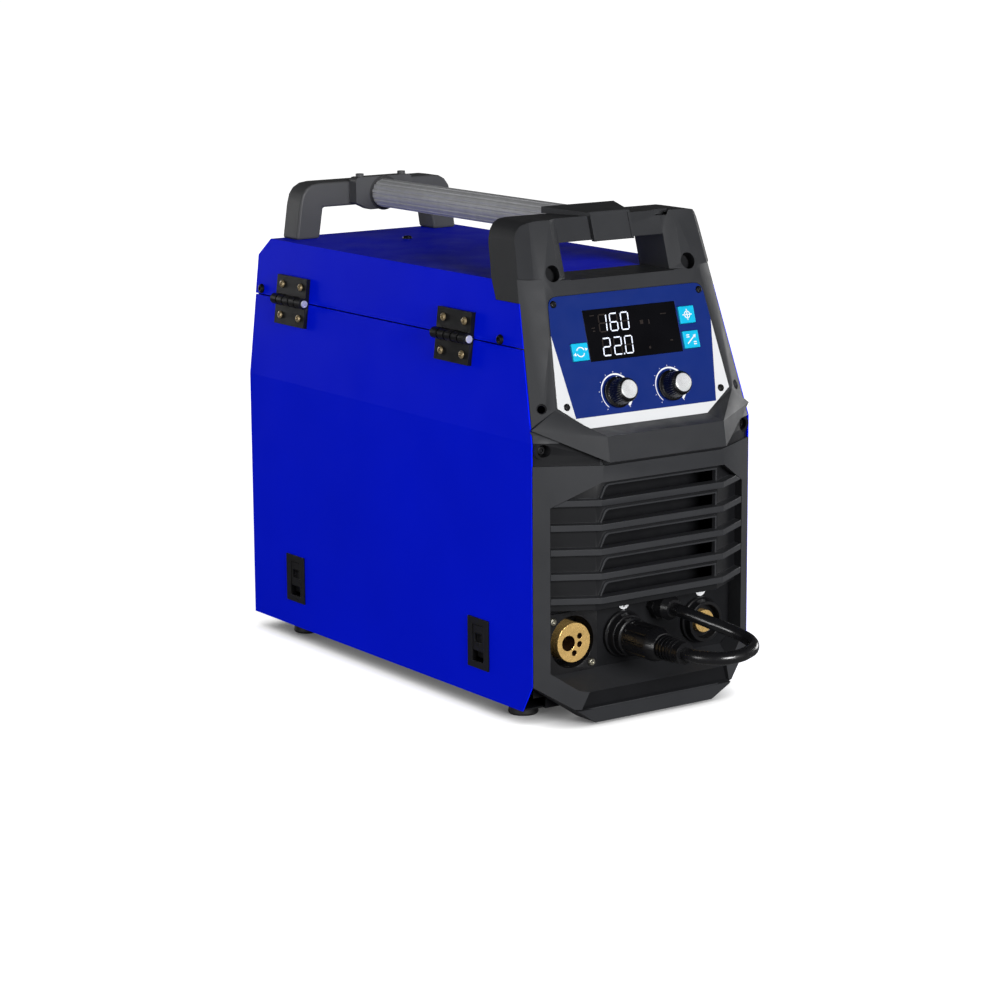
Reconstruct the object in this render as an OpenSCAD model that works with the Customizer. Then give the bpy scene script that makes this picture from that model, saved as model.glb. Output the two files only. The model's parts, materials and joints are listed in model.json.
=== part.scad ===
// Portable MIG welding machine: sheet steel case with a top-hinged wire door,
// moulded front bezel with handle arch, rear handle arch and a tube between them.
// Millimetres. +Z up, the front faces -Y, the wire door is on the -X side.
// Positions inside the modules are measured from the front edge of the side panels.

/* [Case] */
// Overall width of the case over the side panels
case_w = 210; // [200:1:230]
// Length of the side panels, front edge to rear edge
case_len = 415; // [405:1:470]
// Height of the side panels
case_h = 326; // [320:1:360]
// Height of the crease above the bottom edge of the side panels
crease_h = 210; // [205:1:216]
// How far each side leans inward between the crease and the top
lean_in = 13; // [8:1:20]
// How far the front edge rakes back between the crease and the top
front_rake = 36; // [30:1:42]
// Thickness of the sheet steel
sheet_t = 1.2; // [0.8:0.1:2]
// Clearance between neighbouring fixed pieces
fit_gap = 0.3; // [0.2:0.05:0.5]
// Length of the chamfer at the top rear corner
rear_chamfer_len = 18; // [12:1:26]
// Height of the chamfer at the top rear corner
rear_chamfer_h = 15; // [10:1:22]
// Length of the toe chamfer at the bottom front corner
toe_len = 13; // [8:1:16]
// Height of the toe chamfer at the bottom front corner
toe_h = 22; // [18:1:26]
// Height of the side flanges of the base pan
pan_flange_h = 25; // [20:1:30]
// X of the centre wall's face in the wire bay, in a case of the usual width
wall_at = -30; // [-34:1:-26]

/* [Feet] */
// Height of the feet below the case
foot_h = 12; // [9:1:18]
// Diameter of each foot at the floor
foot_d = 24; // [18:1:30]
// Distance of the foot axes from the sides of the case
foot_inset_x = 24; // [20:1:34]
// Distance of the rear foot axes from the rear edge
foot_inset_y = 48; // [30:1:70]
// Distance of the front foot axes from the front edge
foot_front_y = 46; // [40:1:70]

/* [Bezel] */
// How far the middle facet of the bezel stands in front of the side panels
prow = 26.5; // [22:0.5:30]
// Half width of the middle facet
facet_w = 59; // [54:1:64]
// How far the visor stands in front of the side panels
visor_reach = 33; // [30:0.5:38]
// How far the control face stands in front of the raked edges
panel_proud = 10; // [8:0.5:12]
// Width of the flanks beside the control face
flank_w = 17; // [14:1:20]
// Wall thickness of the mouldings
wall_t = 3; // [2.4:0.2:4]
// Width of the jambs beside the connector and grille opening
jamb_w = 12; // [9:1:15]
// Height of the band between that opening and the crease
band_h = 30.5; // [28:0.5:34]
// Height of the tray lip above the floor
lip_z = 29; // [26:1:32]
// Number of grille bars
bar_count = 5; // [3:1:5]
// Height of a grille bar
bar_h = 5; // [4:0.5:6]
// Underside of the lowest grille bar above the floor
bar_low = 97.5; // [96:0.5:100]

/* [Handle] */
// Outside diameter of the handle tube
tube_d = 24; // [22:0.5:26]
// Height of the tube axis above the top of the case
tube_rise = 36; // [34:0.5:40]
// Half width of the hand window in the front arch
window_w = 50; // [44:1:54]
// Height of the hand window above the top of the case
window_h = 27; // [24:1:30]
// Height of the front arch above the top of the case
arch_h = 45; // [42:1:50]
// Width of a rear handle post
post_w = 23; // [20:1:26]
// Depth of a rear handle post
post_d = 24; // [20:1:28]
// Outer half width of the rear arch at its base
rear_arch_w = 81; // [78:1:86]
// Height of the rear arch above the top of the case
rear_arch_h = 48; // [46:1:54]

/* [Door] */
// Height of the door seam above the bottom edge of the side panels
seam_h = 278; // [270:1:284]
// Width of the seam between the door and the cover
seam = 1; // [0.8:0.1:1.6]
// Distance of the hinge axis outside the case wall
hinge_out = 5; // [4.8:0.1:6]
// Length of a hinge along the seam
hinge_len = 47; // [40:1:52]
// Height of a hinge leaf
leaf_h = 20; // [17:0.5:22]
// Thickness of a hinge leaf
leaf_t = 3.6; // [3:0.1:4]
// Diameter of the hinge barrel
barrel_d = 9; // [8:0.2:9.2]
// Diameter of the hinge pins
pin_d = 4; // [3:0.2:5]
// Y of the middle of the front hinge
hinge_front_y = 110; // [100:1:130]
// Y of the middle of the rear hinge
hinge_rear_y = 352; // [330:1:360]
// Width of a latch
latch_w = 28; // [24:1:32]
// Height of a latch
latch_h = 40.5; // [38:0.5:44]
// Y of the middle of the front latch
latch_front_y = 71; // [60:1:90]
// Y of the middle of the rear latch
latch_rear_y = 344; // [320:1:360]
// Height of the middle of the latches above the floor
latch_z = 54; // [52:1:58]
// Travel of a latch slider
latch_travel = 8; // [6:0.5:9]

/* [Controls] */
// Gap between the display window and the push buttons
display_gap = 1.6; // [1.2:0.1:4]
// Height of the display window as a share of the control plate's height
display_share = 0.386; // [0.34:0.002:0.4]
// Distance of the display below the top of the control plate
display_drop = 12.6; // [11.6:0.2:14]
// Diameter of the skirt of a knob
knob_d = 24; // [20:0.5:27]
// Number of grooves round a knob
knob_ribs = 30; // [20:2:36]
// Distance of the knob axes from the middle
knob_u = 26; // [24:0.5:32]
// Height of the knob axes as a share of the control plate's height
knob_share = 0.24; // [0.22:0.01:0.25]
// Width of a push button
button_w = 15; // [12:0.5:16]
// Height of a push button
button_h = 13.5; // [11:0.5:15]
// Distance of the button middles inside the edge of the control plate
button_in = 22.25; // [19.75:0.25:23]
// Travel of a push button
button_travel = 1; // [0.5:0.1:1.4]

/* [Connectors] */
// Y of the front face of the steel front panel
panel_y = 9; // [8:0.5:12]
// X of the torch connector in a case of the usual width
torch_at = -63; // [-66:1:-60]
// Height of the torch connector above the floor
torch_z = 62; // [60:1:64]
// Side of the square torch connector flange
torch_flange = 48; // [46:1:50]
// Diameter of the brass torch connector body
torch_d = 31; // [28:0.5:33]
// Bore of the torch connector
torch_bore_d = 12; // [10:0.5:13]
// Distance of that bore from the middle of the connector
torch_bore_off = 5; // [3:0.5:6]
// X of the output socket that holds the jumper plug, in a case of the usual width
socket_plug_at = -13; // [-15:1:-10]
// X of the free output socket in a case of the usual width
socket_free_at = 63; // [60:1:66]
// Height of the output sockets above the floor
socket_z = 61; // [59:1:63]
// Outside diameter of a socket collar
socket_d = 34; // [32:0.5:38]
// Diameter of the brass insert in a socket
insert_d = 18; // [16:0.5:20]
// Bore of the output sockets
socket_bore_d = 9; // [8.5:0.1:9.6]
// Diameter of the jumper cable
jumper_d = 10; // [9:0.5:11]

/* [Wire feed] */
// Outside diameter of the wire spool
spool_d = 200; // [190:1:206]
// Room beside the wire spool in its bay
spool_room = 20; // [19:1:27]
// Distance of the spool axis from the rear edge
spool_rear = 128; // [122:1:140]
// Height of the spool axis above the floor
spool_z = 132; // [126:1:140]
// Bore of the wire spool
spool_bore_d = 52; // [50:0.5:54]
// Diameter of the drive roll and of the pressure roll
roll_d = 30; // [28:0.5:32]
// Y of the feed rolls
roll_y = 96; // [90:1:104]
// Diameter of the welding wire
wire_d = 1; // [0.8:0.1:1.2]
// Diameter of the feed motor
motor_d = 50; // [44:1:56]
// Length of the feed motor
motor_len = 78; // [60:1:90]

/* [Power side] */
// Room beside the cooling fan
fan_room = 15; // [13:1:25]
// Depth of the cooling fan
fan_depth = 25; // [20:1:30]
// Height of the fan axis above the floor
fan_z = 186; // [180:1:200]
// Number of fan blades
fan_blades = 7; // [5:1:9]
// Number of rings in the fan guard
guard_rings = 4; // [3:1:5]
// Outside diameter of the gas hose barb
barb_d = 8; // [6:0.5:10]
// How far the gas barb and the mains gland reach behind the case
rear_reach = 24; // [20:1:32]

/* [Hidden] */

// Roundness of exact cylinders and of small round outlines
$fn = 48;
CORNER_STEPS = 4;
CUT = 0.5;

// Heights and slopes of the case
floor_z = foot_h;
crease_z = floor_z + crease_h;
top_z = floor_z + case_h;
lean = lean_in / (top_z - crease_z);
rake = front_rake / (top_z - crease_z);
lean_angle = atan(lean);
rake_angle = atan(rake);
front_y = -(case_len + rear_reach - visor_reach) / 2;
seam_z = floor_z + seam_h;
pan_top = floor_z + sheet_t;
pan_w = case_w / 2 - sheet_t - fit_gap;
rear_y = case_len - 2;

// Places across the case keep their share of its usual width
usual_w = 210;
width_scale = case_w / usual_w;
wall_x = wall_at * width_scale;
torch_x = torch_at * width_scale;
socket_plug_x = socket_plug_at * width_scale;
socket_free_x = socket_free_at * width_scale;
gland_x = 22 * width_scale;
mouth_w = case_w / 2 - jamb_w;
mouth_top = crease_z - band_h;
bar_pitch = (mouth_top + 0.5 - bar_low) / bar_count;
spool_w = case_w / 2 + wall_x - spool_room;
fan_side = case_w / 2 - wall_x - fan_room;

// Half width and front edge of the case at a height
function half_w(z) = case_w / 2 - max(0, z - crease_z) * lean;
function front_at(z) = max(0, z - crease_z) * rake;
function mirrored(half) = concat(half, [for (i = [len(half) - 1:-1:0]) [-half[i].x, half[i].y]]);
// A corner of an outline as an arc: p is the corner, a and b its neighbours, cut back by r
function unit(v) = v / norm(v);
function corner(a, p, b, r) = [
    for (i = [0:CORNER_STEPS])
        let (t = i / CORNER_STEPS, u = p + r * unit(a - p), w = p + r * unit(b - p))
            (1 - t) * (1 - t) * u + 2 * t * (1 - t) * p + t * t * w
];
function round_all(pts, r) = [
    for (i = [0:len(pts) - 1])
        each corner(pts[(i + len(pts) - 1) % len(pts)], pts[i], pts[(i + 1) % len(pts)], r)
];

// Frames of reference and simple placed solids
module in_case() translate([0, front_y, 0]) children();
module along_x(x1, x2) translate([x1, 0, 0]) rotate([90, 0, 90]) linear_extrude(x2 - x1) children();
module along_y(y1, y2) translate([0, y2, 0]) rotate([90, 0, 0]) linear_extrude(y2 - y1) children();
module along_z(z1, z2) translate([0, 0, z1]) linear_extrude(z2 - z1) children();
module block(x1, x2, y1, y2, z1, z2) translate([x1, y1, z1]) cube([x2 - x1, y2 - y1, z2 - z1]);
module rod_x(x1, x2, d) translate([x1, 0, 0]) rotate([0, 90, 0]) cylinder(h = x2 - x1, d = d);
module rod_y(y1, y2, d) translate([0, y2, 0]) rotate([90, 0, 0]) cylinder(h = y2 - y1, d = d);
module rod_z(z1, z2, d) translate([0, 0, z1]) cylinder(h = z2 - z1, d = d);
module both_sides() {
    children();
    mirror([1, 0, 0]) children();
}
// A solid between two outlines that run clockwise seen from above, at two heights
module loft(z1, low, z2, high) {
    n = len(low);
    points = concat([for (p = low) [p.x, p.y, z1]], [for (p = high) [p.x, p.y, z2]]);
    sides = [for (i = [0:n - 1]) [i, (i + 1) % n, n + (i + 1) % n, n + i]];
    caps = [[for (i = [n - 1:-1:0]) i], [for (i = [0:n - 1]) n + i]];
    polyhedron(points, concat(caps, sides));
}
// The convex solid round a list of points
module wrap(points) hull() polyhedron(points, [for (i = [1:len(points) - 2]) [0, i, i + 1]]);
// The control face: x across, y up the slope from the crease, z outward
module on_face() translate([0, -panel_proud, crease_z]) rotate([90 - rake_angle, 0, 0]) children();
// The leaning wall above the crease at the door seam: -x outward, z up the wall
module on_wall(y) translate([-half_w(seam_z), y, seam_z]) rotate([0, lean_angle, 0]) children();

// ---- case
notch_z = top_z - 15;
notch_len = 62;
notch_step = 8;
side_outline = [
    [toe_len, floor_z], [0, floor_z + toe_h], [0, crease_z], [front_at(notch_z), notch_z],
    [notch_len, notch_z], [notch_len + notch_step, top_z], [case_len - rear_chamfer_len, top_z],
    [case_len, top_z - rear_chamfer_h], [case_len, floor_z]
];
cover_seam_z = seam_z + seam / 2;
door_top_z = seam_z - seam / 2;
fold_r = 3;
function wall_line(inset) = [
    [case_w / 2 - inset, floor_z], [case_w / 2 - inset, crease_z],
    [half_w(top_z) - inset, top_z - inset], [inset - half_w(top_z), top_z - inset],
    [inset - half_w(cover_seam_z), cover_seam_z]
];
tongue_w = mouth_w - 8;
tongue_y = panel_y + sheet_t + fit_gap;

module base_pan() in_case() color("dimgray") difference() {
    union() {
        block(-pan_w, pan_w, toe_len + 1, rear_y, floor_z, pan_top);
        block(-tongue_w, tongue_w, tongue_y, toe_len + 2, floor_z, pan_top);
        block(-tongue_w, tongue_w, tongue_y, tongue_y + sheet_t, floor_z, floor_z + toe_h);
        both_sides() block(pan_w - sheet_t, pan_w, toe_len + 1, rear_y - sheet_t - fit_gap, floor_z,
            floor_z + pan_flange_h);
    }
    for (row = [0:2], i = [0:6])
        translate([row * 26 + 4, 150 + i * 26, floor_z - CUT])
            linear_extrude(sheet_t + 2 * CUT) slot_2d(16, 5);
}
// A flat slot with round ends, centred, its length along x
module slot_2d(length, width) {
    square([length - width, width], center = true);
    for (s = [-1, 1]) translate([s * (length - width) / 2, 0]) circle(d = width);
}

foot_ys = [foot_front_y, case_len - foot_inset_y];
module feet() in_case() color("black")
    for (sx = [-1, 1], y = foot_ys)
        translate([sx * (case_w / 2 - foot_inset_x), y, 0]) rotate_extrude()
            polygon([[0, 0], [foot_d / 2 - 1, 0], [foot_d / 2, 1.5], [foot_d / 2 - 2, foot_h], [0, foot_h]]);

divider_top = top_z - sheet_t - fit_gap;
module centre_wall() in_case() color("lightgray") difference() {
    along_x(wall_x, wall_x + sheet_t) polygon([
        [tongue_y + 6, pan_top], [tongue_y + 6, crease_z - 26], [front_at(notch_z) + 22, notch_z - 22],
        [notch_len + 24, notch_z - 6], [notch_len + 24, divider_top],
        [case_len - rear_chamfer_len - 2, divider_top], [rear_y - 4, top_z - rear_chamfer_h - 4],
        [rear_y - 4, pan_top]
    ]);
    translate([0, roll_y, torch_z - roll_pitch]) rod_x(wall_x - 1, wall_x + 3, motor_shaft_d + 8);
    for (s = [-1, 1]) translate([0, roll_y + s * 18, torch_z - roll_pitch])
        rod_x(wall_x - 1, wall_x + 3, 4.4);
    translate([0, spool_y, spool_z]) rod_x(wall_x - 1, wall_x + 3, 10.6);
    for (y = [205, 370]) along_x(wall_x - 1, wall_x + 3) translate([y, 300]) circle(d = 22);
}

panel_half = mouth_w + 5;
panel_top = mouth_top + 12;
module front_panel() in_case() color("dimgray") difference() {
    block(-panel_half, panel_half, panel_y, panel_y + sheet_t, floor_z + 10, panel_top);
    for (i = [0:bar_count - 1])
        along_y(panel_y - 1, panel_y + 3)
            translate([0, bar_low + bar_h + i * bar_pitch + slot_h / 2 + 1.5])
                square([2 * slot_w - 10, slot_h], center = true);
    translate([torch_x, 0, torch_z]) rod_y(panel_y - 1, panel_y + 3, cup_d + 0.6);
    for (x = [socket_plug_x, socket_free_x]) translate([x, 0, socket_z])
        rod_y(panel_y - 1, panel_y + 3, neck_d + 0.6);
    translate([gland_x, 0, gland_z]) rod_y(panel_y - 1, panel_y + 3, gland_thread_d + 0.4);
    for (s = [-1, 1]) translate([torch_x - s * torch_screw_at, 0, torch_z + s * torch_screw_at])
        rod_y(panel_y - 1, panel_y + 3, screw_hole_d);
}

fan_x = wall_x + sheet_t + 4 + fan_side / 2;
fan_open_d = fan_side - 8;
switch_x = -66 * width_scale;
switch_z = 262;
switch_w = 22;
switch_h = 30;
gas_x = -66 * width_scale;
gas_z = 64;
mains_x = 60 * width_scale;
mains_z = 62;
rear_w = case_w / 2 - sheet_t - fit_gap;
rear_top = top_z - rear_chamfer_h - 2;
module rear_panel() in_case() color("dimgray") difference() {
    intersection() {
        block(-rear_w, rear_w, rear_y - sheet_t, rear_y, pan_top, rear_top);
        along_y(rear_y - 3, rear_y + 1) polygon([
            [rear_w, 0], [rear_w, crease_z], [half_w(top_z) - sheet_t - fit_gap, top_z],
            [sheet_t + fit_gap - half_w(top_z), top_z], [-rear_w, crease_z], [-rear_w, 0]
        ]);
    }
    for (i = [-5:5], s = [-1, 1]) along_y(rear_y - 3, rear_y + 1)
        let (w = sqrt(pow(fan_open_d / 2, 2) - pow(i * 9.5, 2)) - 4)
        translate([fan_x + s * (w / 2 + 2), fan_z + i * 9.5]) slot_2d(w, 5);
    block(switch_x - switch_w / 2, switch_x + switch_w / 2, rear_y - 3, rear_y + 1,
        switch_z - switch_h / 2, switch_z + switch_h / 2);
    translate([gas_x, 0, gas_z]) rod_y(rear_y - 3, rear_y + 1, fitting_thread_d + 0.4);
    translate([mains_x, 0, mains_z]) rod_y(rear_y - 3, rear_y + 1, gland_thread_d + 0.4);
    for (i = [0:7]) along_y(rear_y - 3, rear_y + 1) translate([gas_x, 110 + i * 12])
        slot_2d(46, 5);
}

screw_d = 8;
top_screw_y = 326;
strip_screws = [[51, seam_z + 4], [405, seam_z + 5]];
sill_screws = [[60, floor_z + 12], [214, floor_z + 12], [368, floor_z + 12]];
module cover() in_case() color("mediumblue") difference() {
    union() {
        intersection() {
            along_y(0, case_len)
                polygon(concat(wall_line(0), [for (i = [4:-1:0]) wall_line(sheet_t)[i]]));
            along_x(-case_w, case_w) polygon(side_outline);
        }
        intersection() {
            along_y(0, case_len) polygon(mirrored([
                [half_w(top_z - rear_chamfer_h) - 0.2, top_z - rear_chamfer_h - 4],
                [half_w(top_z) - 0.2, top_z]
            ]));
            along_x(-case_w, case_w) polygon([
                [case_len - rear_chamfer_len - 1, top_z], [case_len - rear_chamfer_len, top_z],
                [case_len, top_z - rear_chamfer_h], [case_len, top_z - rear_chamfer_h - 1.5],
                [case_len - rear_chamfer_len - 1, top_z - sheet_t]
            ]);
        }
    }
    for (p = strip_screws) translate([0, p.x, p.y]) rod_x(-case_w, case_w, screw_hole_d);
    for (y = hinge_ys, s = [-1, 1])
        on_wall(y) translate([0, s * hinge_screw_y, hinge_screw_z]) rod_x(-9, 9, screw_hole_d);
    for (p = sill_screws) translate([0, p.x, p.y]) rod_x(0, case_w, screw_hole_d);
    translate([0, top_screw_y, 0]) rod_z(top_z - 5, top_z + 5, screw_hole_d);
}

// A pan head screw: the head stands on z = 0, the shank goes down
screw_hole_d = 4.4;
shank_d = 3.8;
module pan_screw(d, h, shank) difference() {
    union() {
        rotate_extrude() polygon([[0, 0], [d / 2, 0], [d / 2, h * 0.45], [d * 0.36, h], [0, h]]);
        rod_z(-shank, 0.01, shank_d);
    }
    rod_z(h * 0.45, h + 1, d * 0.42);
}
module on_side(p, out) translate([-half_w(p.y) - out, p.x, p.y]) rotate([0, lean_angle - 90, 0]) children();
module cover_screws() in_case() color("black") {
    for (p = strip_screws) both_sides() on_side(p, 0) pan_screw(screw_d, 2.4, 6);
    for (p = sill_screws) translate([case_w / 2, p.x, p.y]) rotate([0, 90, 0]) pan_screw(screw_d, 2.4, 1);
    translate([0, top_screw_y, top_z]) pan_screw(screw_d, 2.4, 6);
}

// ---- bezel
// Plan of the lower bezel: its front line, moved back by a depth, and the line behind it
function facet_y(x) = -prow * (case_w / 2 - x) / (case_w / 2 - facet_w);
function face_y(z) = front_at(z) - panel_proud;
function front_line(back) = mirrored([[case_w / 2, back], [facet_w, back - prow]]);
function lower_plan(back, rear) = concat(front_line(back), [[-case_w / 2, rear], [case_w / 2, rear]]);
function inner_plan(z, rear) = let (y = (z - crease_z) * rake) [
    [half_w(z) - wall_t, y + 1], [half_w(z) - flank_w - 1, y - panel_proud + wall_t],
    [1 + flank_w - half_w(z), y - panel_proud + wall_t], [wall_t - half_w(z), y + 1],
    [wall_t - half_w(z), rear], [half_w(z) - wall_t, rear]
];
function mouth_half(grow) = [
    [lip_half + grow, lip_z - 4], [mouth_w + grow, lip_z + 15], [mouth_w + grow, mouth_top - 19 + grow / 2],
    [facet_w + grow / 2, mouth_top + grow]
];
bezel_rear = panel_y - fit_gap;
tuck = 10;
tuck_w = sheet_t + fit_gap;
rim_t = 2.5;
lower_top = mouth_top + 13;
pocket_top = crease_z + 10;
pocket_depth = 2.5;
pocket_screw = [case_w / 2 - 9, lower_top + 11.5];
pocket_bore_d = 9.6;
visor_w = 56;
visor_low = crease_z - 14.6;
visor_high = crease_z + 4.6;
plate_low = crease_z + 7.5;
shoulder_z = top_z + 3;
arch_top = top_z + arch_h;
window_top = top_z + window_h;
bar_inset = 6;
dimple_z = crease_z + 25;
lip_half = mouth_w - 26;
toe_half = 57;
toe_y = -16;
toe_z = 2;
groove_z = 14;
tube_z = top_z + tube_rise;
tube_start = notch_len;
handle_back = case_len - rear_chamfer_len - 0.6;
handle_front = handle_back - post_d;
tube_end = handle_front;
bore_gap = 0.15;

module front_bezel() in_case() color("#3f4144") difference() {
    union() {
        lower_shell();
        pocket_walls();
        visor();
        upper_shell();
        for (s = [-1, 1]) translate([s * pocket_screw.x, 0, pocket_screw.y]) rod_y(-2, bezel_rear, 14);
    }
    side_tucks();
    on_face() translate([0, 0, -plate_t]) linear_extrude(plate_t + 9) polygon(plate_outline(plate_gap));
    face_openings();
    for (s = [-1, 1]) translate([s * pocket_screw.x, 0, pocket_screw.y]) {
        rod_y(-8, 3, pocket_bore_d);
        rod_y(2, panel_y, screw_hole_d);
    }
    for (s = [-1, 1]) on_face() translate([s * (window_w + 15), face_v(top_z + 6), -8])
        cylinder(h = 20, d = 13);
    translate([window_w - 4, face_y(arch_top) + 2, arch_top - 4]) cube([16, 9, 8]);
    for (s = [-1, 1]) translate([s * (half_w(dimple_z) - flank_w / 2), face_y(dimple_z) + panel_proud / 2,
        dimple_z]) sphere(d = 8);
    translate([0, 0, tube_z]) rod_y(tube_start - fit_gap, notch_len + 40, tube_d + 2 * bore_gap);
}
function face_v(z) = (z - crease_z) / cos(rake_angle);
// The moulding keeps inside the sheets at both sides
module side_tucks() both_sides() {
    block(case_w / 2 - tuck_w, case_w, -fit_gap, tuck + 2, -1, crease_z + 0.5);
    loft(crease_z, tuck_plan(crease_z), notch_z + fit_gap, tuck_plan(notch_z + fit_gap));
}
function tuck_plan(z) = [
    [case_w, front_at(z) - fit_gap], [half_w(z) - tuck_w, front_at(z) - fit_gap],
    [half_w(z) - tuck_w, notch_len + 20], [case_w, notch_len + 20]
];
tray_rear = lip_z + 9;
module above_tray() along_x(-case_w, case_w) polygon([
    [-case_w, lip_z], [facet_y(lip_half), lip_z], [bezel_rear, tray_rear], [case_w, tray_rear],
    [case_w, top_z], [-case_w, top_z]
]);
// Faceted front below the visor, with its mouth, its jambs and the tray under the connectors
module lower_shell() difference() {
    union() {
        difference() {
            along_z(toe_z, lower_top) polygon(lower_plan(0, bezel_rear));
            intersection() {
                along_z(lip_z - 1, lower_top + 1) polygon(concat(
                    mirrored([[case_w / 2 - wall_t - tuck_w, 2], [facet_w - 1, wall_t - prow]]),
                    [[wall_t + tuck_w - case_w / 2, case_w], [case_w / 2 - wall_t - tuck_w, case_w]]));
                above_tray();
            }
        }
        intersection() {
            along_z(lip_z - 2, lower_top - 1) polygon(lower_plan(1, bezel_rear - 0.2));
            along_y(-prow, panel_y) polygon(mirrored(mouth_half(rim_t)));
        }
    }
    intersection() {
        along_y(-prow - 10, panel_y + 1) polygon(mirrored(mouth_half(0)));
        above_tray();
    }
    along_x(-case_w, case_w) polygon([[-case_w, 0], [toe_y + 0.4, 0], [toe_y, toe_z],
        [facet_y(lip_half), lip_z], [-case_w, lip_z]]);
    both_sides() along_y(-prow - 10, panel_y + 2)
        polygon([[case_w, floor_z + toe_h], [case_w / 2, floor_z + toe_h], [toe_half, toe_z],
        [toe_half, 0], [case_w, 0]]);
    along_x(-toe_half, toe_half) polygon([
        [toe_y + 4, toe_z + 4], [facet_y(lip_half) + 5, lip_z - 4], [panel_y + 1, lip_z + 4],
        [panel_y + 1, toe_z + 4]
    ]);
    along_z(groove_z, groove_z + 1.2) polygon(concat(mirrored([[case_w, 60], [toe_half + 4, toe_y - 1.6]]),
        [[-case_w, -case_w], [case_w, -case_w]]));
}
// Set-back walls between the lower shell and the edge of the visor
module pocket_walls() both_sides() difference() {
    intersection() {
        along_z(lower_top - 1, pocket_top) polygon(lower_plan(pocket_depth, bezel_rear - 0.2));
        along_y(-prow, panel_y) polygon([[visor_w - 5, lower_top - 1], [visor_w - 5, lower_top + 11],
            [case_w / 2, pocket_top - 1], [case_w / 2, lower_top - 1]]);
    }
    along_z(lower_top - 2, pocket_top + 1)
        polygon([[visor_w - 8, wall_t + pocket_depth - prow], [facet_w - 1, wall_t + pocket_depth - prow],
        [case_w / 2 - wall_t - tuck_w, pocket_depth + 2], [case_w / 2 - wall_t - tuck_w, panel_y + 1],
        [visor_w - 8, panel_y + 1]]);
}
module visor() {
    corner_z = plate_low + 16;
    corner_x = half_w(corner_z) - flank_w;
    difference() {
        along_x(-visor_w, visor_w) polygon([
            [face_y(plate_low), plate_low], [4 - visor_reach, visor_high], [0.4 - visor_reach, visor_low],
            [-prow - 0.5, lower_top - 0.5], [-8, lower_top - 1], [2, plate_low]
        ]);
        along_x(2 * wall_t - visor_w, visor_w - 2 * wall_t) polygon([
            [face_y(plate_low) + 2, plate_low - wall_t], [4.5 + wall_t - visor_reach, visor_high - wall_t],
            [1 + wall_t - visor_reach, visor_low + 3], [wall_t - prow, lower_top - 2], [6, lower_top - 2],
            [6, plate_low - wall_t]
        ]);
    }
    both_sides() wrap([
        [visor_w, 4 - visor_reach, visor_high], [visor_w, 0.4 - visor_reach, visor_low],
        [visor_w, face_y(plate_low), plate_low], [corner_x, face_y(corner_z), corner_z],
        [case_w / 2, 0, pocket_top], [case_w / 2 - 2, 5, pocket_top], [corner_x, 5, corner_z],
        [visor_w, 3, plate_low - 0.4], [visor_w, -6, visor_low + 4], [visor_w - 4, -12, plate_low - 6],
        [visor_w - 4, 8 - visor_reach, visor_low + 6]
    ]);
}
arch_flank = 8.5;
// Raked control housing, top shelf and handle arch in one moulding
module upper_shell() difference() {
    intersection() {
        along_x(-case_w / 2, case_w / 2) polygon([
            [face_y(crease_z), crease_z], [tuck, crease_z], [front_at(notch_z) + tuck, notch_z],
            [front_at(notch_z) + tuck, notch_z + fit_gap], [notch_len - fit_gap, notch_z + fit_gap],
            [notch_len + notch_step - fit_gap, top_z], [notch_len + 16, window_top],
            [notch_len + 17, arch_top],
            [face_y(arch_top), arch_top]
        ]);
        along_y(-prow, case_w) polygon(mirrored(concat([[half_w(crease_z), crease_z - 1],
            [half_w(crease_z), crease_z]],
            corner([half_w(crease_z), crease_z], [half_w(arch_top), arch_top], [0, arch_top], 14))));
    }
    both_sides() {
        loft(crease_z - 1, flank_plan(crease_z - 1, flank_w, panel_proud), shoulder_z,
            flank_plan(shoulder_z, flank_w, panel_proud));
        loft(shoulder_z - 1, flank_plan(shoulder_z - 1, arch_flank, arch_flank), arch_top + 1,
            flank_plan(arch_top + 1, arch_flank, arch_flank));
    }
    intersection() {
        loft(crease_z - 1, inner_plan(crease_z - 1, case_w), top_z + 2, inner_plan(top_z + 2, case_w));
        along_x(-case_w, case_w) polygon([
            [-case_w, crease_z - 2], [case_w, crease_z - 2], [case_w, notch_z - 1],
            [notch_len - fit_gap - wall_t, notch_z - 1],
            [notch_len + notch_step - fit_gap - wall_t - 1, top_z - wall_t], [-case_w, top_z - wall_t]
        ]);
    }
    block(-window_w, window_w, -prow, case_w, top_z, window_top);
    loft(top_z + 0.5, bar_recess(top_z + 0.5), arch_top + 1, bar_recess(arch_top + 1));
}
// What a flank takes off the housing at a height: its width and its depth behind the face
function flank_plan(z, wide, deep) = [
    [half_w(z) + wide, face_y(z) - 3 * deep], [half_w(z) - 4 * wide, face_y(z) - 3 * deep],
    [half_w(z) + wide, face_y(z) + 2 * deep]
];
function bar_recess(z) = [
    [window_w + 11, face_y(z) - 1], [-window_w - 11, face_y(z) - 1],
    [-window_w, face_y(z) + bar_inset], [window_w, face_y(z) + bar_inset]
];

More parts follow.
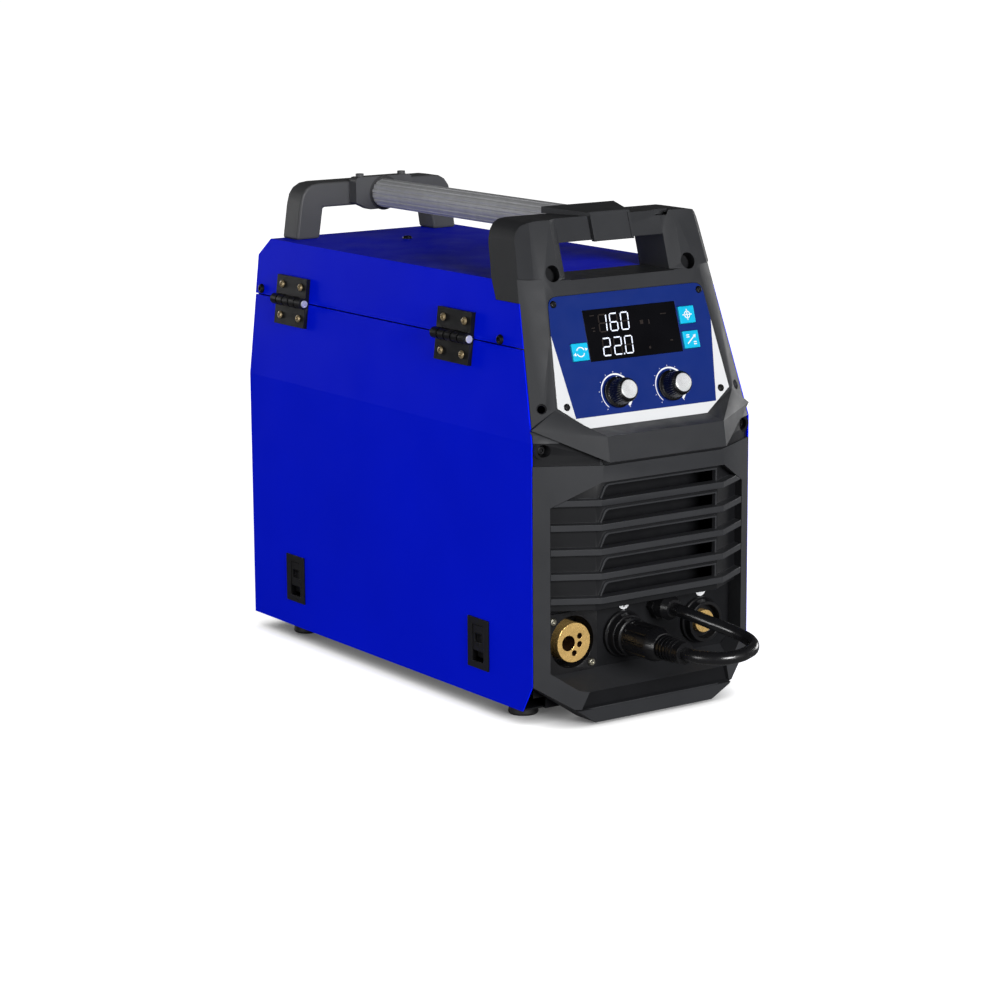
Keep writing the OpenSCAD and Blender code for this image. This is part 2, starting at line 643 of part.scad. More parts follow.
// ---- grille
grille_gap = 0.3;
grille_back = 8;
grille_t = 2;
slot_w = 55;
slot_h = bar_pitch - bar_h - 4.9;
rim_w = 1.5;
grille_low = bar_low - 4.5;
module grille() in_case() color("#3a3c3f") difference() {
    union() {
        intersection() {
            union() {
                along_z(grille_low, mouth_top) grille_band(grille_back, grille_t);
                for (i = [0:bar_count - 1]) along_z(bar_low + i * bar_pitch, bar_low + i * bar_pitch + bar_h)
                    grille_band(0.2, grille_back);
                for (i = [0:bar_count - 1]) along_z(bar_low + bar_h - rim_w + i * bar_pitch,
                    slot_top(i) + rim_w)
                    translate([-slot_w - rim_w, 5.5 - prow]) square([2 * (slot_w + rim_w), 3.5]);
            }
            along_y(-prow - 10, panel_y) polygon(mirrored(mouth_half(-grille_gap)));
        }
        along_z(grille_low - grille_t, grille_low + 0.01) polygon(concat(
            mirrored([[mouth_w - grille_gap, facet_y(mouth_w - grille_gap) + grille_back],
            [facet_w, grille_back - prow]]),
            [[grille_gap - mouth_w, bezel_rear], [mouth_w - grille_gap, bezel_rear]]));
    }
    for (i = [0:bar_count - 1]) block(-slot_w, slot_w, -prow, 0, bar_low + bar_h + i * bar_pitch,
        slot_top(i));
}
function slot_top(i) = bar_low + bar_h + i * bar_pitch + slot_h;
module grille_band(back, deep) polygon(concat(front_line(back),
    [for (i = [3:-1:0]) front_line(back + deep)[i]]));

// ---- screws at the front
module front_screws() in_case() color("silver") {
    for (s = [-1, 1]) translate([s * pocket_screw.x, 3, pocket_screw.y]) rotate([90, 0, 0])
        pan_screw(screw_d, 3, 5);
    for (s = [-1, 1]) translate([torch_x - s * torch_screw_at, flange_y, torch_z + s * torch_screw_at])
        rotate([90, 0, 0]) pan_screw(6.6, 2, 3.5);
}

// ---- handle
cap_h = 5;
cap_half = 19;
cap_rear_half = 35;
cap_rear_y = notch_len + 22;
module tube_cap() in_case() color("#3a3c3f") difference() {
    union() {
        loft(window_top - 1, cap_tongue(window_top - 1), arch_top + cap_h - 2,
            cap_tongue(arch_top + cap_h - 2));
        both_sides() loft(window_top - 1, cap_lip(window_top - 1), arch_top + cap_h - 2.6,
            cap_lip(arch_top + cap_h - 2.6));
        intersection() {
            along_z(arch_top, arch_top + cap_h + 1) polygon([
                [cap_half, face_y(arch_top) + bar_inset - 3], [-cap_half, face_y(arch_top) + bar_inset - 3],
                [-cap_rear_half, cap_rear_y], [cap_rear_half, cap_rear_y]
            ]);
            along_x(-case_w / 2, case_w / 2) polygon([
                [0, arch_top], [0, arch_top + cap_h - 2.4],
                [face_y(arch_top) + bar_inset, arch_top + cap_h - 2.4],
                [cap_rear_y, arch_top + cap_h], [cap_rear_y + 1, arch_top]
            ]);
        }
    }
    translate([0, 0, tube_z]) rod_y(tube_start - 1, cap_rear_y + 1, tube_d + 2 * bore_gap);
}
function cap_tongue(z) = [
    [cap_half, face_y(z) + bar_inset - 3], [-cap_half, face_y(z) + bar_inset - 3],
    [-cap_half, face_y(z) + bar_inset], [cap_half, face_y(z) + bar_inset]
];
function cap_lip(z) = let (y = face_y(z) + bar_inset - 3.9)
    [[cap_half, y], [cap_half - 2, y], [cap_half - 2, y + 1.9], [cap_half, y + 1.9]];
flutes = 16;
flute_d = 2.4;
module handle_tube() in_case() color("silver") translate([0, 0, tube_z]) along_y(tube_start, tube_end)
    difference() {
    circle(d = tube_d);
    circle(d = tube_d - 5);
    for (i = [0:flutes - 1]) rotate(i * 360 / flutes) translate([tube_d / 2 + 0.4, 0])
        circle(d = flute_d, $fn = 24);
}
rear_bar_top = top_z + rear_arch_h - 1;
rear_bar_low = rear_bar_top - 21;
rear_round = 17;
module rear_handle() in_case() color("#303234") along_y(handle_front, handle_back) {
    low = [rear_arch_w, top_z];
    high = [rear_arch_w - 7, rear_bar_top];
    inner_low = [rear_arch_w - post_w, top_z];
    inner_high = [rear_arch_w - post_w - 4, rear_bar_low];
    polygon(concat(
        [low], corner(low, high, [0, rear_bar_top], rear_round), [for (i = [CORNER_STEPS:-1:0])
        let (p = corner(low, high, [0, rear_bar_top], rear_round)[i]) [-p.x, p.y]], [[-low.x, low.y]],
        [[-inner_low.x, inner_low.y], [-inner_high.x, inner_high.y], inner_high, inner_low]
    ));
}
clamp_half = 28;
clamp_len = 11;
module handle_clamp() in_case() color("#303234") difference() {
    union() {
        both_sides() translate([clamp_half - 7, handle_front - clamp_len / 2, 0])
            rod_z(tube_z, tube_z + tube_d / 2 + 5, 7);
        along_y(handle_front - clamp_len, handle_front) polygon(mirrored([
        [clamp_half / 2, tube_z - tube_d / 2 - 1.5], [clamp_half, tube_z - tube_d / 2 + 5],
        each corner([clamp_half, tube_z], [clamp_half, tube_z + tube_d / 2 + 2.5],
            [0, tube_z + tube_d / 2 + 2.5], 4)
        ]));
    }
    translate([0, 0, tube_z]) rod_y(handle_front - clamp_len - 1, tube_end + bore_gap, tube_d + 2 * bore_gap);
}

// ---- door and hinges
door_gap = 0.5;
door_outline = [
    [toe_len + door_gap, floor_z], [door_gap, floor_z + toe_h], [door_gap, crease_z],
    [front_at(door_top_z) + door_gap, door_top_z], [case_len - door_gap, door_top_z],
    [case_len - door_gap, floor_z]
];
latch_ys = [latch_front_y, latch_rear_y];
hinge_ys = [hinge_front_y, hinge_rear_y];
cutout_w = latch_w - 4;
cutout_h = latch_h - 7;
hinge_screw_y = hinge_len / 2 - 9;
hinge_screw_z = leaf_h - 7;
module door() in_case() color("mediumblue") difference() {
    intersection() {
        along_y(0, case_len) polygon([
            [-case_w / 2, floor_z], [-case_w / 2, crease_z], [-half_w(door_top_z), door_top_z],
            [sheet_t - half_w(door_top_z), door_top_z], [sheet_t - case_w / 2, crease_z],
            [sheet_t - case_w / 2, floor_z]
        ]);
        along_x(-case_w, 0) polygon(door_outline);
    }
    for (y = latch_ys) block(-case_w, 0, y - cutout_w / 2, y + cutout_w / 2, latch_z - cutout_h / 2,
        latch_z + cutout_h / 2);
    for (y = hinge_ys, s = [-1, 1]) on_wall(y) translate([0, s * hinge_screw_y, -hinge_screw_z])
        rod_x(-9, 9, screw_hole_d);
}

leaf_clear = 0.6;
knuckle_gap = 0.3;
pin_gap = 0.06;
knuckle = hinge_len / 5;
// A leaf above its axis; ours are the knuckles it carries, others those it clears
module hinge_leaf(ours, others, bore) difference() {
    union() {
        block(-leaf_t, 0, -hinge_len / 2, hinge_len / 2, leaf_clear, leaf_h + leaf_clear);
        for (i = ours) {
            translate([-hinge_out, 0, 0]) rod_y(knuckle_at(i) + knuckle_gap / 2,
                knuckle_at(i + 1) - knuckle_gap / 2, barrel_d);
            block(-hinge_out, 0, knuckle_at(i) + knuckle_gap / 2, knuckle_at(i + 1) - knuckle_gap / 2,
                leaf_clear, barrel_d / 2);
        }
    }
    for (i = others) translate([-hinge_out, 0, 0])
        rod_y(knuckle_at(i) - knuckle_gap / 2, knuckle_at(i + 1) + knuckle_gap / 2, barrel_d + 0.8);
    translate([-hinge_out, 0, 0]) rod_y(-hinge_len, hinge_len, pin_d + 2 * bore);
    for (s = [-1, 1]) translate([0, s * hinge_screw_y, hinge_screw_z]) rod_x(-9, 9, screw_hole_d);
}
function knuckle_at(i) = (i - 2.5) * knuckle;
module hinge_upper_leaves() in_case() color("black")
    for (y = hinge_ys) on_wall(y) hinge_leaf([0, 2, 4], [1, 3], pin_gap / 2);
module hinge_lower_leaves() in_case() color("black")
    for (y = hinge_ys) on_wall(y) mirror([0, 0, 1]) hinge_leaf([1, 3], [0, 2, 4], pin_gap);
module hinge_pins() in_case() color("silver") for (y = hinge_ys) on_wall(y) translate([-hinge_out, 0, 0]) {
    rod_y(-hinge_len / 2 - 0.3, hinge_len / 2 + 1, pin_d);
    rod_y(-hinge_len / 2 - 1.5, -hinge_len / 2 - 0.3, pin_d + 2);
}
module hinge_screws(side) for (y = hinge_ys, s = [-1, 1]) on_wall(y)
    translate([-leaf_t, s * hinge_screw_y, side * hinge_screw_z]) rotate([0, -90, 0]) pan_screw(6.4, 1.5, 6);
module hinge_screws_upper() in_case() color("goldenrod") hinge_screws(1);
module hinge_screws_lower() in_case() color("goldenrod") hinge_screws(-1);

// Latches: a frame in the door and a slider whose tongue drops behind the pan flange
latch_proud = 1.5;
latch_body = 3.6;
body_gap = 0.3;
slide_gap = 0.3;
slot_half = cutout_w / 2 - 4.4;
slot_half_h = cutout_h / 2 - 2.2;
tongue_half = cutout_w / 2 - 2;
tongue_t = 1.7;
tongue_low = floor_z + pan_flange_h + 4;
slider_h = 2 * slot_half_h - latch_travel - 2 * slide_gap;
module latch_housings() in_case() color("black") for (y = latch_ys) translate([-case_w / 2, y, latch_z])
    difference() {
    union() {
        block(-latch_proud, 0, -latch_w / 2, latch_w / 2, -latch_h / 2, latch_h / 2);
        block(-0.1, latch_body, body_gap - cutout_w / 2, cutout_w / 2 - body_gap,
            body_gap - cutout_h / 2, cutout_h / 2 - body_gap);
    }
    block(-5, 5, -slot_half, slot_half, -slot_half_h, slot_half_h);
}
module latch_slider(y) translate([-case_w / 2, y, latch_z]) difference() {
    union() {
        block(0.7 - latch_proud, latch_body + slide_gap + 0.5, slide_gap - slot_half, slot_half - slide_gap,
            slot_half_h - slide_gap - slider_h, slot_half_h - slide_gap);
        block(latch_body + slide_gap, latch_body + slide_gap + tongue_t, -tongue_half, tongue_half,
            tongue_low - latch_z, slot_half_h - 1);
    }
    translate([-2.5, 0, slot_half_h - slider_h / 2]) rotate([90, 0, 0])
        cylinder(h = latch_w / 3, d = 8, center = true);
}
module latch_slider_front() in_case() color("#202020") latch_slider(latch_front_y);
module latch_slider_rear() in_case() color("#202020") latch_slider(latch_rear_y);

// ---- controls
plate_t = 1.5;
plate_gap = 0.3;
plate_rise = 0.3;
face_len = (top_z - crease_z) / cos(rake_angle);
plate_v = [8, 26, face_len - 29.45, face_len - 11.45];
plate_h = plate_v[3] - plate_v[0];
plate_margin = 2.5;
function plate_u(v) = half_w(crease_z + v * cos(rake_angle)) - flank_w - plate_margin;
function plate_outline(grow) = mirrored(concat(
    [[facet_w - 2 + grow / 2, plate_v[0] - grow], [plate_u(plate_v[1]) + grow, plate_v[1] - grow / 2],
    [plate_u(plate_v[2]) + grow, plate_v[2]]],
    corner([plate_u(plate_v[2]) + grow, plate_v[2]], [plate_u(plate_v[3]) + grow, plate_v[3] + grow],
        [0, plate_v[3] + grow], 8)
));
display_h = display_share * plate_h;
display_v = plate_v[3] - display_drop - display_h / 2;
knob_v = plate_v[0] + knob_share * plate_h;
button_u = plate_u(plate_v[2]) - button_in;
display_w = 2 * (button_u - button_w / 2 - display_gap);
plate_screws = [[plate_u(plate_v[3]) - 3.8, plate_v[3] - 5.7], [plate_u(plate_v[1]) - 8.6, plate_v[1]]];
buttons = [
    [-button_u, display_v - 11.5], [button_u, display_v + 8], [button_u, display_v - 11.5]
];
shaft_d = 6;
hole_gap = 0.4;
button_gap = 0.3;
skin = wall_t * cos(rake_angle);
board_w = -12;
board_t = 1.6;
frame_lap = 2.5;
module centred(w, h) square([w, h], center = true);
// Holes through the bezel behind the control plate
module face_openings() on_face() translate([0, 0, -skin - 2]) {
    linear_extrude(skin + 3) {
        translate([0, display_v]) centred(display_w - 2 * frame_lap, display_h - 2 * frame_lap);
        control_holes();
    }
}
module control_holes() {
    for (s = [-1, 1]) translate([s * knob_u, knob_v]) circle(d = shaft_d + 2 * hole_gap);
    for (b = buttons) translate(b) centred(button_w + 2 * button_gap, button_h + 2 * button_gap);
    for (p = plate_screws, s = [-1, 1]) translate([s * p.x, p.y]) circle(d = screw_hole_d);
}
module control_plate() in_case() color("white") on_face() translate([0, 0, -plate_t])
    linear_extrude(plate_t + plate_rise) difference() {
        polygon(plate_outline(0));
        translate([0, display_v]) centred(display_w + 2 * bore_gap, display_h + 2 * bore_gap);
        control_holes();
    }
module display_window() in_case() color("#101014") on_face()
    translate([0, display_v, -plate_t]) linear_extrude(plate_t + plate_rise - 0.2)
        centred(display_w, display_h);
module control_screws() in_case() color("#404040") for (p = plate_screws, s = [-1, 1])
    on_face() translate([s * p.x, p.y, plate_rise]) pan_screw(5.6, 1.6, 4);
knob_base = plate_rise + 0.5;
knob_h = 16.5;
knob_low = board_w + board_t + 1;
module knob(s) on_face() translate([s * knob_u, knob_v, 0]) difference() {
    rotate_extrude() polygon([
        [0, knob_low], [shaft_d / 2, knob_low], [shaft_d / 2, knob_base], [knob_d / 2, knob_base],
        [knob_d / 2, knob_base + 3],
        [knob_d / 2 - 1.6, knob_base + 4], [knob_d / 2 - 2.4, knob_base + knob_h - 2.5],
        [knob_d / 2 - 4, knob_base + knob_h - 1],
        [knob_d / 2 - 4.4, knob_base + knob_h], [0, knob_base + knob_h]
    ]);
    for (i = [0:knob_ribs - 1]) rotate(i * 360 / knob_ribs) translate([knob_d / 2 - 1.4, 0, knob_base + 4.6])
        rotate([0, -6, 0]) cylinder(h = knob_h, d = 1.2, $fn = 16);
}
module knob_left() in_case() color("black") knob(-1);
module knob_right() in_case() color("black") knob(1);
button_rise = 1.4;
flange_t = 1.2;
flange_lap = 1.4;
module button(b) on_face() translate([b.x, b.y, 0]) {
    top = -skin - button_gap;
    translate([0, 0, top - flange_t]) linear_extrude(flange_t)
        centred(button_w + 2 * flange_lap, button_h + 2 * flange_lap);
    translate([0, 0, top - 0.1]) linear_extrude(plate_rise + button_rise - top + 0.1)
        centred(button_w, button_h);
}
module button_left() in_case() color("deepskyblue") button(buttons[0]);
module button_upper() in_case() color("deepskyblue") button(buttons[1]);
module button_lower() in_case() color("deepskyblue") button(buttons[2]);
board_v = [plate_v[0] + 6, plate_v[3] - 6];
board_half = plate_u(plate_v[2]) - 9.65;
boss_u = board_half - 4;
boss_v = [board_v[0] + 4, board_v[1] - 4];
module control_board() in_case() color("darkgreen") on_face() difference() {
    union() {
        translate([-board_half, board_v[0], board_w])
            cube([2 * board_half, board_v[1] - board_v[0], board_t]);
        for (s = [-1, 1], v = boss_v) translate([s * boss_u, v, board_w])
            cylinder(h = -skin - board_w, d = 7);
        translate([3 - display_w / 2, display_v + 3 - display_h / 2, board_w])
            cube([display_w - 6, display_h - 6, -plate_t - board_w - 0.3]);
        for (s = [-1, 1]) translate([s * knob_u - 7, knob_v - 7, board_w])
            cube([14, 14, -board_w - skin - 1.5]);
        for (b = buttons) translate([b.x - 4, b.y - 4, board_w])
            cube([8, 8, -board_w - skin - button_gap - flange_t - button_travel - 0.4]);
    }
    for (s = [-1, 1]) translate([s * knob_u, knob_v, knob_low - 0.3])
        cylinder(h = 20, d = shaft_d + 2 * hole_gap);
}

// ---- connectors
flange_y = panel_y - 2.5;
torch_screw_at = torch_flange / 2 - 5.5;
recess_d = 41;
cup_wall = 1.5;
cup_d = recess_d + 2 * cup_wall;
cup_len = 22;
line_x = torch_x - torch_bore_off;
torch_end = panel_y + 34;
guide_tube_d = 7;
wire_bore_d = 2.4;
roll_gap = 1.6;
roll_pitch = roll_d / 2 + roll_gap / 2;
module torch_housing() in_case() color("#26282a") translate([torch_x, 0, torch_z]) difference() {
    union() {
        along_y(flange_y, panel_y) polygon(round_all([for (a = [45:90:315])
            torch_flange / sqrt(2) * [cos(a), sin(a)]], 4));
        rod_y(panel_y - 1, panel_y + cup_len, cup_d);
    }
    rod_y(0, panel_y + cup_len - 3, recess_d);
    rod_y(0, panel_y + cup_len + 1, torch_d + 0.2);
    for (s = [-1, 1]) translate([-s * torch_screw_at, 0, s * torch_screw_at])
        rod_y(0, panel_y + 9, screw_hole_d);
}
module torch_body() in_case() color("goldenrod") translate([torch_x, 0, torch_z]) difference() {
    union() {
        rod_y(panel_y - 5, torch_end, torch_d);
        translate([-torch_bore_off, 0, 0]) rod_y(torch_end - 1, roll_y - roll_d / 2 - 1, guide_tube_d);
    }
    translate([-torch_bore_off, 0, 0]) rod_y(panel_y - 6, torch_end - 6, torch_bore_d);
    translate([-torch_bore_off, 0, 0]) rod_y(panel_y, roll_y, wire_bore_d);
    for (p = [[5.5, 4.5], [5.5, -2], [0.5, -8.5]]) translate([p.x, 0, p.y])
        rod_y(panel_y - 6, panel_y + 8, 4.5);
}

neck_d = 28;
collar_y = panel_y - 10;
sockets = [socket_plug_x, socket_free_x];
socket_recess_d = socket_d - 7;
module at_y(y) translate([0, y, 0]) rotate([90, 0, 0]) children();
module socket_collars() in_case() color("#1c1d1f") for (x = sockets) translate([x, 0, socket_z])
    at_y(panel_y) rotate_extrude() {
    seat = insert_d / 2 + 0.05;
    polygon([
        [seat, -8], [neck_d / 2, -8], [neck_d / 2, 0], [socket_d / 2 + 1.5, 0], [socket_d / 2 + 1.5, 3],
        [socket_d / 2, 4],
        [socket_d / 2 - 0.8, panel_y - collar_y], [socket_recess_d / 2, panel_y - collar_y],
        [socket_recess_d / 2, 2.5], [seat, 2.5]
    ]);
    translate([neck_d / 2 + 0.1, -sheet_t - 5]) square([4, 5 - fit_gap / 2]);
}
insert_y = panel_y - 8;
module socket_inserts() in_case() color("goldenrod") for (x = sockets) translate([x, 0, socket_z])
    difference() {
    union() {
        rod_y(insert_y, panel_y + 14, insert_d);
        rod_y(panel_y + 13, panel_y + 24, insert_d / 2);
    }
    rod_y(insert_y - 1, panel_y + 11, socket_bore_d);
}

gland_z = 79.5;
gland_d = 20;
gland_thread_d = 16;
gland_y = panel_y - 21;
module jumper_gland() in_case() color("black") translate([gland_x, 0, gland_z]) {
    at_y(panel_y) gland(gland_d, panel_y - gland_y, jumper_d + 4);
}
// A cable gland on a panel whose outer face is z = 0: hexagon, dome and thread
module gland(d, reach, nose) {
    cylinder(h = 7, d = d / cos(30), $fn = 6);
    translate([0, 0, 6.9]) cylinder(h = reach - 11.9, d = d);
    translate([0, 0, reach - 5.1]) cylinder(h = 5.1, d1 = d, d2 = nose);
    translate([0, 0, -12]) cylinder(h = 12.1, d = gland_thread_d);
    translate([0, 0, -sheet_t - 5.1]) cylinder(h = 5, d = d / cos(30), $fn = 6);
}

// The cable's route: how far each point is from the plug to the gland, across and up, and its y
run = [
    [1, -12, 1], [1, -22, 0.984], [1.086, -34, 0.881], [1.229, -47, 0.714], [1.4, -59, 0.541],
    [1.514, -71, 0.378], [1.514, -83, 0.243], [1.343, -93, 0.135], [1.057, -99, 0.081], [0.714, -101, 0.027],
    [0.4, -98, 0], [0.171, -91, 0], [0.029, -83, 0], [0, -76, 0], [0, -70, 0]
];
route = [for (p = run) [
    socket_plug_x + p.x * (gland_x - socket_plug_x), p.y, socket_z + p.z * (gland_z - socket_z)
]];
SIDES = 10;
function ahead(i) = i == 0 ? [0, -1, 0] : i == len(route) - 1 ? [0, 1, 0] : unit(route[i + 1] - route[i - 1]);
function ring(p, t, r, n) = let (u = unit(cross(t, [0, 0, 1])), v = cross(t, u))
    [for (k = [0:n - 1]) p + r * (cos(k * 360 / n) * u + sin(k * 360 / n) * v)];
// A tube skin through rings of n points, with both ends closed
module skin_tube(rings, n) {
    m = len(rings);
    sides = [for (i = [0:m - 2], k = [0:n - 1]) each let (a = i * n, b = a + n, j = (k + 1) % n)
        [[a + k, b + j, a + j], [a + k, b + k, b + j]]];
    caps = [for (k = [1:n - 2]) each [[0, k, k + 1], [(m - 1) * n, (m - 1) * n + k + 1, (m - 1) * n + k]]];
    polyhedron([for (r = rings) each r], concat(sides, caps));
}
module jumper_cable() in_case() color("black")
    skin_tube([for (i = [0:len(route) - 1]) ring(route[i], ahead(i), jumper_d / 2, SIDES)], SIDES);

plug_d = 27;
plug_rib_d = 20;
plug_flutes = 10;
plug_neck_y = -70;
pin_in = 14;
module jumper_plug() in_case() color("#1c1d1f") translate([socket_plug_x, 0, socket_z]) difference() {
    union() {
        at_y(collar_y - 0.3) rotate_extrude() {
            polygon([
                [0, 4], [plug_d / 2 - 4, 4], [plug_d / 2 - 4, 0], [insert_d / 2 + 0.6, 0],
                [insert_d / 2 + 0.6, -6],
                [socket_recess_d / 2 - 0.5, -6], [socket_recess_d / 2 - 0.5, 0], [socket_d / 2 - 2, 0],
                [socket_d / 2 - 2, 5], [plug_d / 2, 6], [plug_d / 2, 34], [plug_d / 2 - 3, 43], [8.5, 43.1],
                [8.5, collar_y - 0.3 - plug_neck_y], [0, collar_y - 0.3 - plug_neck_y]
            ]);
            for (i = [0:4]) translate([8.4, 45 + i * 3.6]) square([plug_rib_d / 2 - 8.4 - i * 0.25, 2.2]);
        }
        rod_y(collar_y - 5, insert_y + pin_in, socket_bore_d - 0.2);
    }
    for (i = [0:plug_flutes - 1]) rotate([0, i * 360 / plug_flutes, 0]) translate([plug_d / 2 + 0.6, 0, 0])
        rod_y(collar_y - 33, collar_y - 9, 3);
}

// ---- wire feed
spool_y = case_len - spool_rear;
spool_x2 = wall_x - 7;
spool_x1 = spool_x2 - spool_w;
spin_gap = 0.3;
spindle_flange_d = 66;
module spool_spindle() in_case() color("dimgray") translate([0, spool_y, spool_z]) {
    rod_x(wall_x - 5, wall_x, spindle_flange_d);
    rod_x(spool_x1 - 1, wall_x - 4, spool_bore_d - 2 * spin_gap);
    rod_x(wall_x - 1, wall_x + 8, 10);
    rod_x(wall_x + sheet_t, wall_x + sheet_t + 5, 17);
    rod_x(spool_x1 - 6, spool_x1 - 0.9, spool_bore_d + 8);
}
flange_w = 3;
drum_d = 104;
pack_d = spool_d - 46;
module wire_spool() in_case() color("#1d1e20") translate([0, spool_y, spool_z]) difference() {
    union() {
        rod_x(spool_x1, spool_x1 + flange_w, spool_d);
        rod_x(spool_x2 - flange_w, spool_x2, spool_d);
        rod_x(spool_x1, spool_x2, drum_d);
    }
    difference() {
        rod_x(spool_x1 + flange_w, spool_x2 + 1, drum_d - 5);
        rod_x(spool_x1, spool_x2 + 2, spool_bore_d + 5);
    }
    rod_x(spool_x1 - 1, spool_x2 + 1, spool_bore_d);
    for (a = [0:60:300]) rotate([a, 0, 0]) translate([0, 38, 0])
        rod_x(spool_x1 - 1, spool_x1 + flange_w + 1, 12);
}
module wire_core() in_case() color("#b87333") translate([0, spool_y, spool_z]) difference() {
    rod_x(spool_x1 + flange_w + 0.1, spool_x2 - flange_w - 0.1, pack_d);
    rod_x(spool_x1, spool_x2, drum_d + 0.2);
}
TURNS = 24;
TURN_RINGS = 24;
turn_d = 1.5;
turn_r = pack_d / 2 + turn_d / 2 + 0.9;
turn_span = spool_w - 2 * flange_w - turn_d - 0.8;
turn_pitch = turn_span / TURNS;
guide_y = 152;
guide_dy = guide_y - spool_y;
guide_dz = torch_z - spool_z;
leave = atan2(guide_dz, guide_dy) + acos(turn_r / norm([guide_dy, guide_dz]));
function turn_x(i) = spool_x2 - flange_w - turn_d / 2 - 0.4 - i * turn_pitch / TURN_RINGS;
function turn_at(i) = let (a = leave - (TURNS * TURN_RINGS - i) * 360 / TURN_RINGS) [turn_x(i),
    turn_r * cos(a), turn_r * sin(a)];
function turn_ring(i) = let (c = turn_at(i), u = [1, 0, 0], v = unit([0, c.y, c.z]))
    [for (k = [0:5]) c + turn_d / 2 * (cos(k * 60) * u + sin(k * 60) * v)];
tail = unit([0, sin(leave), -cos(leave)]);
tail_ring = [for (p = turn_ring(TURNS * TURN_RINGS)) p + turn_d * tail];
winding_rings = concat([for (i = [0:TURNS * TURN_RINGS]) turn_ring(i)], [tail_ring]);
winding_gap = min([for (i = [0:TURN_RINGS]) norm(turn_at(i + TURN_RINGS) - turn_at(i)) - turn_d]);
echo(winding_gap = winding_gap);
module wire_winding() in_case() color("#c98a4b") translate([0, spool_y, spool_z]) skin_tube(winding_rings, 6);

wire_end = [line_x, guide_y - 3, torch_z];
wire_leave = [turn_x(TURNS * TURN_RINGS), spool_y, spool_z] + turn_r * [0, cos(leave), sin(leave)];
wire_dir = unit(wire_end - wire_leave);
wire_start = wire_leave + 24 * wire_dir;
wire_front = [line_x, torch_end - 4, torch_z];
module welding_wire() in_case() color("#c98a4b") skin_tube([
    ring(wire_start, wire_dir, wire_d / 2, 8), ring(wire_end, unit(wire_dir + [0, -1, 0]), wire_d / 2, 8),
    ring(wire_front, [0, -1, 0], wire_d / 2, 8)
], 8);

plate_x2 = wall_x - 14;
plate_x1 = plate_x2 - 8;
feed_y = [roll_y - 46, roll_y + 54];
feed_z = [torch_z - 32, torch_z + 40];
roll_w = 10;
roll_x2 = line_x + roll_w / 2;
roll_x1 = line_x - roll_w / 2;
drive_z = torch_z - roll_pitch;
press_z = torch_z + roll_pitch;
pivot = [roll_y + 34, press_z + 4];
lever = [roll_y - 34, torch_z - 6];
lever_x = plate_x1 - 6;
module inlet_guide() in_case() color("goldenrod") translate([line_x, 0, torch_z]) difference() {
    union() {
        rod_y(roll_y + roll_d / 2 + 1, guide_y - 1, guide_tube_d);
        rod_y(guide_y - 5, guide_y, guide_tube_d + 5);
    }
    rod_y(roll_y, guide_y - 8, wire_bore_d);
    translate([0, guide_y, 0]) rotate([90, 0, 0]) cylinder(h = 9, d1 = guide_tube_d + 2, d2 = wire_bore_d);
}
plate_posts = [
    [feed_y[0] + 8, feed_z[0] + 8], [feed_y[1] - 8, feed_z[0] + 8], [feed_y[1] - 8, feed_z[1] - 8],
    [feed_y[0] + 8, torch_z + 8]
];
module feed_plate() in_case() color("gainsboro") difference() {
    union() {
        along_x(plate_x1, plate_x2) polygon([
            [feed_y[0], feed_z[0]], [feed_y[0], torch_z + 16], [lever.x + 16, torch_z + 30],
            [roll_y, feed_z[1]],
            [feed_y[1], feed_z[1]], [feed_y[1], feed_z[0]]
        ]);
        for (p = plate_posts) translate([0, p.x, p.y]) rod_x(plate_x2 - 1, wall_x, 12);
        block(line_x - 7, plate_x1 + 0.1, roll_y + roll_d / 2 + 10, guide_y - 8, torch_z - 7, torch_z + 7);
    }
    translate([line_x, 0, torch_z]) rod_y(feed_y[0] - 1, guide_y, guide_tube_d + 0.2);
    translate([0, roll_y, drive_z]) rod_x(plate_x1 - 1, plate_x2 + 1, motor_shaft_d + 2 * spin_gap);
    translate([0, pivot.x, pivot.y]) rod_x(plate_x1 - 1, plate_x1 + 6, pivot_d);
    translate([0, lever.x, lever.y]) rod_x(plate_x1 - 1, plate_x1 + 6, lever_pin_d);
}
motor_shaft_d = 8;
gear_x = wall_x + sheet_t;
gear_len = 20;
module feed_motor() in_case() color("#2b2d30") translate([0, roll_y, drive_z]) difference() {
    union() {
        block(gear_x, gear_x + gear_len, -26, 26, -26, 28);
        rod_x(gear_x + gear_len - 0.1, gear_x + gear_len + motor_len, motor_d);
        rod_x(gear_x + gear_len + motor_len - 0.1, gear_x + gear_len + motor_len + 6, motor_d / 3);
    }
    rod_x(gear_x - 1, gear_x + gear_len - 4, motor_shaft_d + 2 * spin_gap);
}
module drive_roll() in_case() color("silver") translate([0, roll_y, drive_z]) {
    difference() {
        rod_x(roll_x1, roll_x2, roll_d);
        for (a = [0:90:270]) rotate([a + 45, 0, 0]) translate([0, roll_d / 3, 0])
            rod_x(roll_x1 - 1, roll_x1 + 2, 3.4);
    }
    rod_x(roll_x2 - 1, gear_x + gear_len - 4.5, motor_shaft_d);
    rod_x(roll_x1 - 5, roll_x1 + 1, motor_shaft_d + 8);
}
pivot_d = 6;
lever_pin_d = 5;
arm_x2 = plate_x1 - spin_gap - 0.5;
arm_x1 = arm_x2 - 6;
arm_tip = lever.x - 6;
arm_top = press_z + 10;
fork_w = 7;
axle_d = 6;
